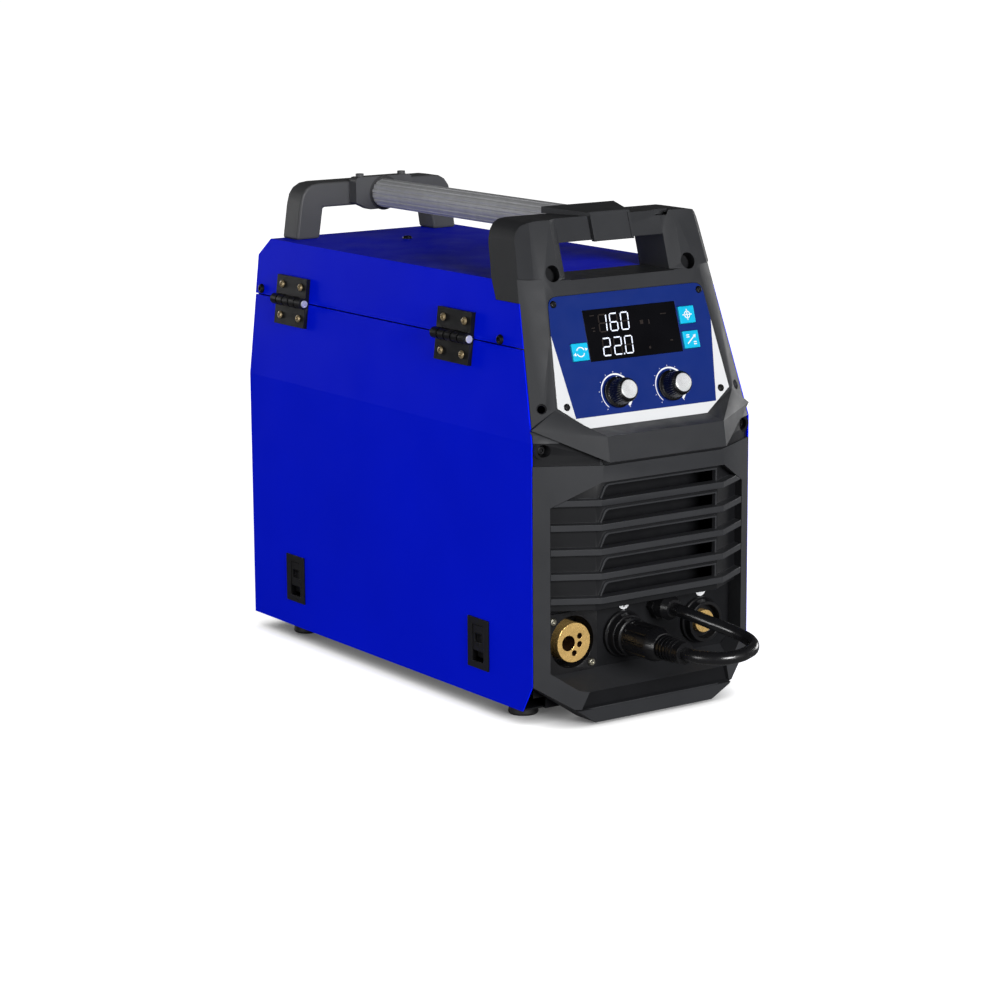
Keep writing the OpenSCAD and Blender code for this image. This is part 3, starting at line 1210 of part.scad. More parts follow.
module pressure_arm() in_case() color("silver") difference() {
    union() {
        along_x(arm_x1, arm_x2) polygon([
            [pivot.x + 7, pivot.y - 7], [pivot.x + 7, pivot.y + 5], [pivot.x + 2, arm_top],
            [arm_tip, arm_top], [arm_tip, arm_top - 8], [roll_y - 8, press_z - 5], [roll_y + 12, press_z - 6]
        ]);
        translate([0, roll_y, press_z]) rod_x(roll_x1 - 2, arm_x1 + 1, axle_d);
        translate([0, pivot.x, pivot.y]) rod_x(arm_x2 - 1, plate_x1 + 5, pivot_d - 0.1);
        block(lever_x - 6, arm_x2, arm_tip, lever.x + 10, arm_top - 6, arm_top);
    }
    block(lever_x - fork_w / 2, lever_x + fork_w / 2, arm_tip - 1, lever.x + 4, arm_top - 12, arm_top + 1);
}
module pressure_roll() in_case() color("silver") translate([0, roll_y, press_z]) difference() {
    rod_x(roll_x1, roll_x2, roll_d);
    rod_x(roll_x1 - 1, roll_x2 + 1, axle_d + 0.2);
    rod_x(roll_x1 - 1, roll_x1 + 1.5, roll_d - 10);
}
knob_lift = 9;
rod_d = 5.5;
tension_low = arm_top + knob_lift;
module tension_lever() in_case() color("silver") {
    translate([0, lever.x, lever.y]) difference() {
        union() {
            translate([lever_x, 0, 0]) rod_z(0, tension_low + 16 - lever.y, rod_d);
            rod_x(lever_x - 4, lever_x + 4, 11);
            translate([lever_x, 0, 0]) rod_z(tension_low - 1.5 - lever.y, tension_low - 0.2 - lever.y, 10);
        }
    }
    translate([0, lever.x, lever.y]) rod_x(lever_x, plate_x1 + 5, lever_pin_d - 0.1);
}
tension_d = 17;
module tension_knob() in_case() color("#1c1d1f") translate([lever_x, lever.x, tension_low]) difference() {
    union() {
        cylinder(h = 20, d = tension_d);
        for (a = [0:45:315]) rotate(a) translate([tension_d / 2 - 0.6, 0, 2])
            cylinder(h = 16, d = 3, $fn = 24);
    }
    translate([0, 0, -1]) cylinder(h = 17.3, d = rod_d + 0.3);
}

// ---- fan and rear panel
fan_back = rear_y - sheet_t;
fan_front = fan_back - fan_depth;
fan_bore = fan_side - 6;
fan_hub_d = 38;
fan_shaft_d = 5;
module fan_frame() in_case() color("#222426") translate([fan_x, 0, fan_z]) difference() {
    union() {
        difference() {
            along_y(fan_front, fan_back) centred(fan_side, fan_side);
            rod_y(fan_front - 1, fan_back + 1, fan_bore);
            for (sx = [-1, 1], sz = [-1, 1]) translate([sx, 0, sz] * (fan_side / 2 - 7.5))
                rod_y(fan_front - 1, fan_back + 1, 4.3);
        }
        for (a = [45:90:315]) rotate([0, a, 0])
            block(fan_hub_d / 2 - 1, fan_bore / 2 + 1, fan_front, fan_front + 3, -2, 2);
        rod_y(fan_front, fan_front + 4, fan_hub_d);
    }
    rod_y(fan_front + 1, fan_back, fan_shaft_d + 2 * spin_gap);
}
module fan_rotor() in_case() color("#303234") translate([fan_x, 0, fan_z]) {
    rod_y(fan_front + 4.5, fan_back - 2, fan_hub_d);
    rod_y(fan_front + 1.5, fan_front + 5, fan_shaft_d);
    for (i = [0:fan_blades - 1]) rotate([0, i * 360 / fan_blades, 0]) translate([0, fan_front + 13, 0])
        rotate([38, 0, 0])
        block(fan_hub_d / 2 - 3, fan_bore / 2 - 2.5, -6, 6, -1, 1);
}

switch_out = 2.2;
rocker_half = 6.8;
rocker_tilt = 10;
rocker_y = rear_y - 3;
module power_switch() in_case() color("#1c1d1f") difference() {
    union() {
        block(switch_x - switch_w / 2 - 2, switch_x + switch_w / 2 + 2, rear_y, rear_y + switch_out,
            switch_z - switch_h / 2 - 2, switch_z + switch_h / 2 + 2);
        block(switch_x - switch_w / 2 + fit_gap, switch_x + switch_w / 2 - fit_gap, rear_y - 22, rear_y + 0.1,
            switch_z - switch_h / 2 + fit_gap, switch_z + switch_h / 2 - fit_gap);
    }
    block(switch_x - rocker_half - 0.4, switch_x + rocker_half + 0.4, rear_y - 12, rear_y + 4,
        switch_z - 12.5, switch_z + 12.5);
    translate([0, rocker_y, switch_z]) rod_x(switch_x - rocker_half - 2, switch_x + rocker_half + 2, 3.2);
}
module power_rocker() in_case() color("#c02020") translate([0, rocker_y, switch_z]) {
    rotate([-rocker_tilt, 0, 0]) along_x(switch_x - rocker_half, switch_x + rocker_half)
        polygon([[-5, -8.5], [5.4, -11.2], [4.3, 0], [5.4, 11.2], [-5, 8.5]]);
    rod_x(switch_x - rocker_half - 1.7, switch_x + rocker_half + 1.7, 2.8);
}
module behind(x, z) translate([x, rear_y, z]) rotate([-90, 0, 0]) children();
rear_fit = case_len + rear_reach - rear_y;
module gas_inlet() in_case() color("goldenrod") behind(gas_x, gas_z) difference() {
    union() {
        cylinder(h = 7, d = 19 / cos(30), $fn = 6);
        translate([0, 0, -14]) cylinder(h = 14.1, d = fitting_thread_d);
        translate([0, 0, -sheet_t - 5.1]) cylinder(h = 5, d = 19 / cos(30), $fn = 6);
        translate([0, 0, 6.9]) cylinder(h = rear_fit - 6.9, d = barb_d);
        for (i = [0:2]) translate([0, 0, rear_fit - 13 + i * 4])
            cylinder(h = 3, d1 = barb_d + 1.6, d2 = barb_d);
    }
    translate([0, 0, -15]) cylinder(h = rear_fit + 16, d = barb_d - 3);
}
fitting_thread_d = 13;
module mains_gland() in_case() color("black") behind(mains_x, mains_z) difference() {
    gland(gland_d + 2, rear_fit, 15);
    translate([0, 0, -13]) cylinder(h = rear_fit + 14, d = 10);
}

// ---- power side
sink_y = [170, 350];
sink_x = [wall_x + sheet_t + 8, case_w / 2 - 22];
sink_h = 46;
fin_t = 2;
fins = 12;
module heatsink() in_case() color("silver") {
    block(sink_x[0], sink_x[1], sink_y[0], sink_y[1], pan_top, pan_top + 6);
    fin_pitch = (sink_x[1] - sink_x[0] - fin_t) / (fins - 1);
    for (i = [0:fins - 1]) translate([sink_x[0] + i * fin_pitch, 0, 0])
        block(0, fin_t, sink_y[0], sink_y[1], pan_top + 5.9, pan_top + sink_h);
}
sink_w = sink_x[1] - sink_x[0];
module power_board() in_case() color("darkgreen") translate([sink_x[0], 0, pan_top + sink_h]) {
    block(0, sink_w, sink_y[0], sink_y[1], 0, board_t);
    block(0.07 * sink_w, 0.6 * sink_w, sink_y[0] + 10, sink_y[0] + 62, board_t - 0.1, 46);
    for (i = [0:2]) translate([0.8 * sink_w, sink_y[0] + 30 + i * 42, 0])
        rod_z(board_t - 0.1, 52, 0.31 * sink_w);
    for (y = [sink_y[1] - 96, sink_y[1] - 60])
        block(0.1 * sink_w, 0.47 * sink_w, y, y + 20, board_t - 0.1, 36);
}

base_pan();
feet();
centre_wall();
front_panel();
rear_panel();
cover();
cover_screws();
front_bezel();
grille();
front_screws();
tube_cap();
handle_tube();
rear_handle();
handle_clamp();
door();
hinge_upper_leaves();
hinge_lower_leaves();
hinge_pins();
hinge_screws_upper();
hinge_screws_lower();
latch_housings();
latch_slider_front();
latch_slider_rear();
control_plate();
control_board();
display_window();
control_screws();
knob_left();
knob_right();
button_left();
button_upper();
button_lower();
torch_housing();
torch_body();
socket_collars();
socket_inserts();
jumper_gland();
jumper_cable();
jumper_plug();
spool_spindle();
wire_spool();
wire_core();
wire_winding();
welding_wire();
inlet_guide();
feed_plate();
feed_motor();
drive_roll();
pressure_arm();
pressure_roll();
tension_lever();
tension_knob();
fan_frame();
fan_rotor();
power_switch();
power_rocker();
gas_inlet();
mains_gland();
heatsink();
power_board();
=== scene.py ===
"""Looks of a portable MIG welding machine: camera, finishes, fine detail, cable, wire and light.

Lengths are in millimetres until they become coordinates, and heights start at the floor. Case
coordinates start at the front edge of the side panels. in_frame() turns them into the shared frame.
"""

import json
import math

import bmesh
import bpy
from mathutils import Matrix, Vector


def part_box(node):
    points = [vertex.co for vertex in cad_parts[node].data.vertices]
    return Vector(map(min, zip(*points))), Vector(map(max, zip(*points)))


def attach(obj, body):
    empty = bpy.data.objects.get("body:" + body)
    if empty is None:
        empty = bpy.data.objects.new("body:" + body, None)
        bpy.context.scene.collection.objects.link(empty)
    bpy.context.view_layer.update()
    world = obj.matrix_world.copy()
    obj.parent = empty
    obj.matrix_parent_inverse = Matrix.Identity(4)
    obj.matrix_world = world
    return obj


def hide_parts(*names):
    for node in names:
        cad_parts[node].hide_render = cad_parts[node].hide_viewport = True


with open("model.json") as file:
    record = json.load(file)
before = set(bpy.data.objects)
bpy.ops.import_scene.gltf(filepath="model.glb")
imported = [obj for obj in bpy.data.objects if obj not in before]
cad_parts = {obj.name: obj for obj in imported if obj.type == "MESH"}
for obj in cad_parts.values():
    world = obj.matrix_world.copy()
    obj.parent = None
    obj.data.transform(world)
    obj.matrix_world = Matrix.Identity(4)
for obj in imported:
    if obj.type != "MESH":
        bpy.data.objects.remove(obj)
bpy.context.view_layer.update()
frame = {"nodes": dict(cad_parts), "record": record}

MM = 0.001
FRONT_Y = -203.0  # front edge of the side panels in the shared frame
CREASE_Z = 222.0  # where the raked control face starts
FACE_OUT = 10.0  # how far the control face stands in front of the raked edges
RAKE = math.atan2(36.0, 116.0)
PANEL_Y = 9.0  # front panel, in case coordinates
SOCKET_X = (-13.0, 63.0)
TORCH = (-63.0, 62.0)  # x and z
SPOOL = (287.0, 132.0)  # y in case coordinates and z

BODY_OF = {
    node: body
    for body, nodes in frame["record"]["behaviour"]["bodies"].items()
    for node in nodes
}
SLOT_OF = {part["node"]: part["material_slot"] for part in frame["record"]["subparts"]}


def in_frame(x, y, z):
    """A point in case coordinates, in millimetres, as a point of the shared frame."""
    return Vector((x, y + FRONT_Y, z)) * MM


# ---------------------------------------------------------------- camera
CAMERA_AT = (-1.3904, -2.0010, 0.6380)
AZIMUTH, ELEVATION, ROLL = -34.944, 11.717, -0.35  # degrees
LENS = 108.38
SENSOR = 36.0
CLIP_END = 200.0  # metres


def make_camera():
    """The photograph's camera, fitted to the edges of the case."""
    data = bpy.data.cameras.new("camera")
    data.sensor_width = SENSOR
    data.lens = LENS
    data.clip_end = CLIP_END
    camera = bpy.data.objects.new("camera", data)
    bpy.context.collection.objects.link(camera)
    turn = (
        Matrix.Rotation(math.radians(AZIMUTH), 4, "Z")
        @ Matrix.Rotation(math.radians(90.0 - ELEVATION), 4, "X")
        @ Matrix.Rotation(math.radians(ROLL), 4, "Z")
    )
    camera.matrix_world = Matrix.Translation(CAMERA_AT) @ turn
    bpy.context.scene.camera = camera


make_camera()

# ---------------------------------------------------------------- finishes
RIPPLE_SCALE = 2.0 * math.pi / 20.0  # of a wave texture with one ring in a metre
PLAIN, SMUDGED = 2.0, 5.0  # detail of a noise
FINE_IN_GLOSS = 0.35  # share of the fine grain in the gloss
GLOSS_RANGE = (0.45, 0.9)  # where their sum lies
FINE_IN_TURNED = 0.4  # share of the fine grain in turned surfaces


def noise(tree, vector, size, detail):
    """Noise with features of about size millimetres."""
    node = tree.nodes.new("ShaderNodeTexNoise")
    node.inputs["Scale"].default_value = 1.0 / (size * MM)
    node.inputs["Detail"].default_value = detail
    tree.links.new(vector, node.inputs["Vector"])
    return node.outputs["Fac"]


def mixed(tree, factor, low, high):
    """A colour between low and high."""
    node = tree.nodes.new("ShaderNodeMix")
    node.data_type = "RGBA"
    tree.links.new(factor, node.inputs["Factor"])
    for socket, color in (("A", low), ("B", high)):
        slot = [s for s in node.inputs if s.name == socket and s.type == "RGBA"][0]
        slot.default_value = (*color, 1.0)
    return [s for s in node.outputs if s.type == "RGBA"][0]


def ranged(tree, value, low, high, start=0.3, end=0.7):
    """value, spread from start..end to low..high."""
    node = tree.nodes.new("ShaderNodeMapRange")
    tree.links.new(value, node.inputs["Value"])
    for socket, number in (("From Min", start), ("From Max", end), ("To Min", low), ("To Max", high)):
        node.inputs[socket].default_value = number
    return node.outputs["Result"]


def summed(tree, a, b, share):
    """a plus share times b."""
    node = tree.nodes.new("ShaderNodeMath")
    node.operation = "MULTIPLY_ADD"
    tree.links.new(b, node.inputs[0])
    node.inputs[1].default_value = share
    tree.links.new(a, node.inputs[2])
    return node.outputs["Value"]


def rings(tree, vector, pitch, kind, direction):
    """Turning marks or wound layers, pitch millimetres apart."""
    node = tree.nodes.new("ShaderNodeTexWave")
    node.wave_type = kind
    if kind == "RINGS":
        node.rings_direction = direction
    else:
        node.bands_direction = direction
    node.inputs["Scale"].default_value = RIPPLE_SCALE / (pitch * MM)
    node.inputs["Distortion"].default_value = 0.0
    tree.links.new(vector, node.inputs["Vector"])
    return node.outputs["Fac"]


def finish(name, color, roughness, metallic=0.0, specular=0.5, drift=0.08, drift_size=45.0, spread=0.06,
           grain=0.0, grain_size=0.5, grain_depth=0.05, stretch=None, turned=None, glow=0.0):
    """A procedural finish: its colour drifts, its gloss is uneven and its surface has a fine grain.

    drift is the share by which the colour changes and spread the amount by which the roughness does.
    grain is the strength of the grain and grain_depth its height. stretch draws the grain out along
    an axis, as in brushed metal. turned is (pitch, kind, direction, centre) of turning marks or of
    wound layers.
    """
    material = bpy.data.materials.new(name)
    material.use_nodes = True
    tree = material.node_tree
    shader = tree.nodes["Principled BSDF"]
    for socket, value in (("Metallic", metallic), ("Specular IOR Level", specular),
                          ("Emission Strength", glow)):
        shader.inputs[socket].default_value = value
    if glow:
        shader.inputs["Emission Color"].default_value = (*color, 1.0)
    place = tree.nodes.new("ShaderNodeTexCoord").outputs["Object"]
    drifting = noise(tree, place, drift_size, PLAIN)
    low = tuple(c * (1.0 - drift) for c in color)
    high = tuple(min(1.0, c * (1.0 + drift)) for c in color)
    tree.links.new(mixed(tree, ranged(tree, drifting, 0.0, 1.0), low, high), shader.inputs["Base Color"])
    grain_place = place
    if stretch:
        scaled = tree.nodes.new("ShaderNodeMapping")
        scaled.inputs["Scale"].default_value = stretch
        tree.links.new(place, scaled.inputs["Vector"])
        grain_place = scaled.outputs["Vector"]
    fine = noise(tree, grain_place, grain_size, PLAIN)
    uneven = summed(tree, noise(tree, grain_place, drift_size / 4.0, SMUDGED), fine, FINE_IN_GLOSS)
    tree.links.new(ranged(tree, uneven, roughness - spread, roughness + spread, *GLOSS_RANGE),
                   shader.inputs["Roughness"])
    height = fine
    if turned:
        pitch, kind, direction, centre = turned
        centred = tree.nodes.new("ShaderNodeMapping")
        centred.inputs["Location"].default_value = [-c for c in centre]
        tree.links.new(place, centred.inputs["Vector"])
        marks = rings(tree, centred.outputs["Vector"], pitch, kind, direction)
        height = summed(tree, marks, fine, FINE_IN_TURNED)
    if grain:
        bump = tree.nodes.new("ShaderNodeBump")
        bump.inputs["Strength"].default_value = grain
        bump.inputs["Distance"].default_value = grain_depth * MM
        tree.links.new(height, bump.inputs["Height"])
        tree.links.new(bump.outputs["Normal"], shader.inputs["Normal"])
    return material


PAINT_BLUE = finish("paint_blue", (0.0002, 0.011, 0.92), 0.36, specular=0.025, drift=0.04,
                    drift_size=120.0, grain=0.25, grain_size=1.1)
PAINT_BLACK = finish("paint_black", (0.0055, 0.0058, 0.007), 0.5, specular=0.18, grain=0.35,
                     grain_size=0.8)
PAINT_LIGHT = finish("paint_light", (0.55, 0.56, 0.57), 0.5, grain=0.3, grain_size=1.0)
HINGE_BLACK = finish("hinge_black", (0.005, 0.005, 0.006), 0.34, specular=0.25, grain=0.3,
                     grain_size=0.9)
BEZEL_GREY = finish("bezel_grey", (0.030, 0.031, 0.034), 0.46, specular=0.16, drift=0.06, grain=0.55,
                    grain_size=0.55, grain_depth=0.06)
# A darker copy of bezel_grey: painted shade for the plate behind the grille's bars, the tray's trough
# and the bezel's screw holes.
BEZEL_PAINTED_SHADE = finish("bezel_painted_shade", (0.0085, 0.0088, 0.010), 0.5, specular=0.14, grain=0.5,
                     grain_size=0.55, grain_depth=0.06)
HANDLE_GREY = finish("handle_grey", (0.068, 0.069, 0.072), 0.42, specular=0.2, drift=0.06, grain=0.7,
                     grain_depth=0.06)
PLASTIC_BLACK = finish("plastic_black", (0.007, 0.007, 0.008), 0.32, specular=0.4, grain=0.3)
RUBBER_BLACK = finish("rubber_black", (0.011, 0.011, 0.012), 0.62, specular=0.35, grain=0.5,
                      grain_size=0.7)
PLUG_BLACK = finish("plug_black", (0.005, 0.005, 0.006), 0.3, specular=0.5, grain=0.3, grain_size=0.9,
                    grain_depth=0.06)
KNOB_BLACK = finish("knob_gloss", (0.004, 0.004, 0.005), 0.2, specular=0.6, grain=0.12, grain_size=0.9)
CABLE_BLACK = finish("cable_black", (0.006, 0.006, 0.007), 0.26, specular=0.6, grain=0.3, grain_size=1.6,
                     grain_depth=0.08)
TUBE_ALLOY = finish("tube_alloy", (0.54, 0.545, 0.56), 0.5, metallic=0.25, drift=0.07, drift_size=8.0,
                    spread=0.1, grain=0.4, grain_size=0.6, grain_depth=0.04, stretch=(1.0, 0.03, 1.0))
FIN_ALLOY = finish("fin_alloy", (0.48, 0.49, 0.51), 0.4, metallic=1.0, spread=0.1, grain=0.3,
                   stretch=(1.0, 0.03, 1.0))
SCREW_BLACK = finish("screw_black", (0.03, 0.03, 0.032), 0.36, metallic=0.9, spread=0.1, grain=0.2)
SCREW_ZINC = finish("screw_zinc", (0.46, 0.44, 0.36), 0.34, metallic=1.0, drift=0.15, drift_size=4.0,
                    spread=0.1, grain=0.2)
SCREW_BRASS = finish("screw_brass", (0.42, 0.33, 0.19), 0.36, metallic=0.7, drift=0.18, drift_size=4.0,
                     spread=0.1, grain=0.25)
BRASS = finish("brass", (0.90, 0.59, 0.21), 0.26, metallic=0.55, drift=0.07, drift_size=9.0, spread=0.05,
               grain=0.25, grain_size=3.0, grain_depth=0.015,
               turned=(0.5, "RINGS", "Y", in_frame(TORCH[0], 0.0, TORCH[1])))
# Painted shade for the walls of the torch connector's bores.
BORE_PAINTED_SHADE = finish("bore_painted_shade", (0.075, 0.035, 0.016), 0.4, metallic=0.5, drift=0.3,
                      drift_size=3.0, grain=0.3)
BRASS_SOCKET = finish("brass_socket", (0.84, 0.55, 0.20), 0.28, metallic=0.6, drift_size=8.0, grain=0.15,
                      grain_size=2.0)
SPUN_ALLOY = finish("spun_alloy", (0.80, 0.81, 0.82), 0.3, metallic=0.5, grain=0.5, grain_depth=0.02,
                    turned=(0.35, "RINGS", "Z", (0.0, 0.0, 0.0)))
STEEL = finish("steel_machined", (0.44, 0.45, 0.47), 0.33, metallic=1.0, spread=0.1, grain=0.3,
               stretch=(1.0, 0.08, 1.0))
COPPER = finish("wire_copper", (0.72, 0.34, 0.17), 0.27, metallic=1.0, drift=0.12, drift_size=8.0,
                spread=0.08, grain=0.15)
COPPER_LAYERS = finish("copper_layers", (0.60, 0.28, 0.14), 0.36, metallic=1.0, drift=0.15,
                       drift_size=8.0, grain=0.9, grain_depth=0.3,
                       turned=(1.0, "BANDS", "X", (0.0, 0.0, 0.0)))
PRINT_BLUE = finish("print_blue", (0.0062, 0.0218, 0.16), 0.34, specular=0.15, drift=0.04, grain=0.2,
                    grain_size=0.9, grain_depth=0.03)
PRINT_WHITE = finish("print_white", (0.68, 0.69, 0.705), 0.36, specular=0.3, drift=0.02, grain=0.2,
                     grain_size=0.9, grain_depth=0.03)
MARK_WHITE = finish("mark_white", (0.80, 0.81, 0.83), 0.45, drift=0.03, drift_size=6.0, grain=0.15)
MARK_DARK = finish("mark_dark", (0.012, 0.012, 0.014), 0.5, drift=0.1, drift_size=6.0, grain=0.15)
GLASS = finish("display_glass", (0.003, 0.003, 0.004), 0.16, specular=0.15, drift=0.2,
               spread=0.03, grain=0.06, grain_size=3.0)
SEGMENT_LIT = finish("segment_lit", (0.62, 0.66, 0.76), 0.4, specular=0.1, glow=0.55, drift=0.04,
                     drift_size=3.0)
SEGMENT_DIM = finish("segment_dim", (0.017, 0.012, 0.010), 0.3, drift=0.1, drift_size=3.0)
BOARD_GREEN = finish("board_green", (0.015, 0.13, 0.05), 0.38, drift=0.12, drift_size=8.0, grain=0.3)
# Its faint glow is painted light: the buttons hold no lamp.
BUTTON_CYAN = finish("button_cyan", (0.006, 0.43, 0.68), 0.34, specular=0.15, glow=0.06, drift=0.05,
                     drift_size=10.0, grain=0.2)
ROCKER_RED = finish("rocker_red", (0.48, 0.012, 0.012), 0.3, grain=0.2)

FINISH_OF_SLOT = {
    "steel_black": PAINT_BLACK, "steel_light": PAINT_LIGHT, "steel_blue": PAINT_BLUE,
    "rubber_black": RUBBER_BLACK, "bezel_grey": BEZEL_GREY, "plastic_black": PLASTIC_BLACK,
    "tube_alloy": TUBE_ALLOY, "zinc_screw": SCREW_BLACK, "brass": BRASS, "panel_blue": PRINT_WHITE,
    "glass_dark": GLASS, "board_green": BOARD_GREEN, "knob_black": PLASTIC_BLACK,
    "button_cyan": BUTTON_CYAN, "cable_black": CABLE_BLACK, "wire_copper": COPPER,
    "steel_machined": STEEL, "rocker_red": ROCKER_RED,
}
FINISH_OF_NODE = {
    "hinge_upper_leaves": HINGE_BLACK, "hinge_lower_leaves": HINGE_BLACK, "hinge_pins": SPUN_ALLOY,
    "hinge_screws_upper": SCREW_BRASS, "hinge_screws_lower": SCREW_BRASS, "front_screws": SCREW_ZINC,
    "socket_inserts": BRASS_SOCKET, "inlet_guide": BRASS_SOCKET, "gas_inlet": BRASS_SOCKET,
    "wire_core": COPPER_LAYERS, "heatsink": FIN_ALLOY, "jumper_plug": PLUG_BLACK,
    "control_screws": SCREW_BLACK, "rear_handle": HANDLE_GREY, "handle_clamp": HANDLE_GREY,
}

# ---------------------------------------------------------------- pieces
SHARP = 30.0  # degrees between faces from which an edge is sharp
WELD = 0.00001  # metres between corners that are one
FLAT = 0.6  # degrees between faces that are one


def add_piece(name, mesh, finishes, body, at=None):
    """A mesh as a piece of its body and slot, in the matrix at."""
    piece = bpy.data.objects.new(name, mesh)
    bpy.context.collection.objects.link(piece)
    if at is not None:
        piece.matrix_world = at
    for one in finishes:
        mesh.materials.append(one)
    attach(piece, body)
    return piece


def smoothed(mesh, angle=SHARP):
    """Smooth shading that keeps edges sharper than angle, in degrees."""
    mesh.shade_smooth()
    mesh.set_sharp_from_angle(angle=math.radians(angle))


def rounded(piece, width):
    """Small rounds along the sharp edges of a piece, width in millimetres."""
    bevel = piece.modifiers.new("edges", "BEVEL")
    bevel.width = width * MM
    bevel.segments = 2
    bevel.limit_method = "ANGLE"
    bevel.angle_limit = math.radians(SHARP)
    bevel.harden_normals = True
    bevel.use_clamp_overlap = True


def dressed(node, edge, change=None, finishes=None):
    """A copy of a CAD node with clean faces and edges rounded by edge, which stands for the node.

    change is a function that works on its bmesh and may give its faces other places in finishes.
    """
    mesh = frame["nodes"][node].data.copy()
    mesh.name = node + "_shown"
    mesh.materials.clear()
    work = bmesh.new()
    work.from_mesh(mesh)
    bmesh.ops.remove_doubles(work, verts=work.verts, dist=WELD)
    bmesh.ops.dissolve_limit(work, angle_limit=math.radians(FLAT), verts=work.verts, edges=work.edges)
    for face in work.faces:
        face.material_index = 0
    if change:
        change(work)
    work.to_mesh(mesh)
    work.free()
    slot = SLOT_OF[node]
    own = finishes or [FINISH_OF_NODE.get(node, FINISH_OF_SLOT[slot])]
    piece = add_piece(node + "_shown", mesh, own, BODY_OF[node])
    smoothed(mesh)
    if edge:
        rounded(piece, edge)
    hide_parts(node)
    return piece


def wire_along(name, kind, route, width, resolution, material):
    """A round wire through the points of route, width in millimetres, as a POLY or a BEZIER curve."""
    data = bpy.data.curves.new(name, "CURVE")
    data.dimensions = "3D"
    data.bevel_depth = width / 2.0 * MM
    data.bevel_resolution = resolution
    data.resolution_u = 10
    spline = data.splines.new(kind)
    if kind == "BEZIER":
        spline.bezier_points.add(len(route) - 1)
        for knot, point in zip(spline.bezier_points, route):
            knot.co = point
            knot.handle_left_type = knot.handle_right_type = "AUTO"
    else:
        spline.points.add(len(route) - 1)
        for knot, point in zip(spline.points, route):
            knot.co = (*point, 1.0)
    data.materials.append(material)
    wire = bpy.data.objects.new(name, data)
    bpy.context.collection.objects.link(wire)
    return wire


# ---------------------------------------------------------------- jumper cable
# The route of the source, in case coordinates
JUMPER_ROUTE = (
    (22, -12, 79.5), (22, -22, 79.2), (25, -34, 77.3), (30, -47, 74.2), (36, -59, 71), (40, -71, 68),
    (40, -83, 65.5), (34, -93, 63.5), (24, -99, 62.5), (12, -101, 61.5), (1, -98, 61), (-7, -91, 61),
    (-12, -83, 61), (-13, -76, 61), (-13, -70, 61),
)
JUMPER_D = 10.0


def make_cable():
    """The short cable from the gland in the front panel to the plug in the left socket."""
    route = [in_frame(*point) for point in JUMPER_ROUTE]
    cable = wire_along("jumper_cable_run", "BEZIER", route, JUMPER_D, 8, CABLE_BLACK)
    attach(cable, "case")
    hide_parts("jumper_cable")
    return cable


cable = make_cable()

# ---------------------------------------------------------------- solids in their finishes
# How much the edges of each node are rounded, in millimetres
EDGES = {
    "cover": 0.5, "door": 0.5, "front_bezel": 0.9, "grille": 0.6, "tube_cap": 0.8, "rear_handle": 2.2,
    "handle_clamp": 0.8, "hinge_upper_leaves": 0.5, "hinge_lower_leaves": 0.5, "latch_housings": 0.5,
    "latch_slider_front": 0.4, "latch_slider_rear": 0.4, "torch_housing": 0.4, "torch_body": 0.35,
    "socket_collars": 0.4, "socket_inserts": 0.3, "jumper_gland": 0.5, "jumper_plug": 0.5,
    "front_panel": 0.2, "rear_panel": 0.2, "base_pan": 0.2, "feet": 0.6, "button_left": 0.5,
    "button_upper": 0.5, "button_lower": 0.5, "cover_screws": 0.25, "front_screws": 0.25,
    "control_screws": 0.2, "hinge_screws_upper": 0.2, "hinge_screws_lower": 0.2, "hinge_pins": 0.2,
    "fan_frame": 0.5, "fan_rotor": 0.4, "power_switch": 0.4, "power_rocker": 0.5, "gas_inlet": 0.3,
    "mains_gland": 0.5, "wire_spool": 0.5, "spool_spindle": 0.5, "tension_knob": 0.6,
    "tension_lever": 0.4, "pressure_arm": 0.5, "feed_plate": 0.5, "feed_motor": 0.6, "drive_roll": 0.3,
    "pressure_roll": 0.3, "inlet_guide": 0.3, "handle_tube": 0.15, "display_window": 0.3,
}
UNROUNDED = ("centre_wall", "control_board", "power_board", "heatsink", "wire_core")

# Grille
SLOT_LEFT = (-57.0, -54.5)  # x between which the left ends of the slots and rims lie
SLOT_TOPS = (111.5, 113.0)  # heights of the tops of the lowest slot and of its rim
SLOT_PITCH = 18.9
SLOT_LEAN = 5.0
SLOT_ROUND = 3.0
PLATE_OUT = 222.0  # the plate behind the bars lies less far out than this, the bars further
# Bezel
LEDGE_Z = (16.0, 28.0)  # heights between which the tray's front ledge lies
LEDGE_HALF = 30.0
TROUGH_INSET = 1.6  # from the ledge's edges to the trough
TROUGH_DEPTH = 3.0
UPPER_HOLE = (65.0, 127.7)  # u and v on the control face
UPPER_HOLE_R = 6.8
UPPER_HOLE_RIM = -0.5  # its faces lie deeper in the control face than this
POCKET = (96.0, 216.0)  # x and z
POCKET_R = 5.0
POCKET_RIM = FRONT_Y - 8.0  # its faces lie behind this
# Hinges
HINGE_Y = (-93.0, 149.0)  # middles of the two hinges in the shared frame
HINGE_AXIS = (-102.35, 290.56)  # x and z
KNUCKLE = 9.4
KNUCKLE_REACH = 4.95  # corners nearer to the axis belong to a knuckle
KNUCKLE_ENDS = 2.2 * KNUCKLE  # the outer ends of a hinge, which stay, lie further from its middle
KNUCKLE_GAP = 0.6  # by which each end of a knuckle moves back
# Connectors
BEZEL_SCREWS_Z = 120.0  # the two screws of the bezel lie above this, those of the torch connector below
TORCH_BORES_R = 14.0  # the bores lie within this distance of the connector's axis

# The control face: u across, v up the rake and w out of it, in millimetres
FACE = (
    Matrix.Translation(in_frame(0.0, -FACE_OUT, CREASE_Z))
    @ Matrix.Rotation(math.pi / 2.0 - RAKE, 4, "X")
    @ Matrix.Scale(MM, 4)
)


def on_slot_top(z):
    """Whether a height is that of the top of a slot or of its rim."""
    steps = [(z - first) / SLOT_PITCH for first in SLOT_TOPS]
    return any(abs(step - round(step)) < 0.01 for step in steps)


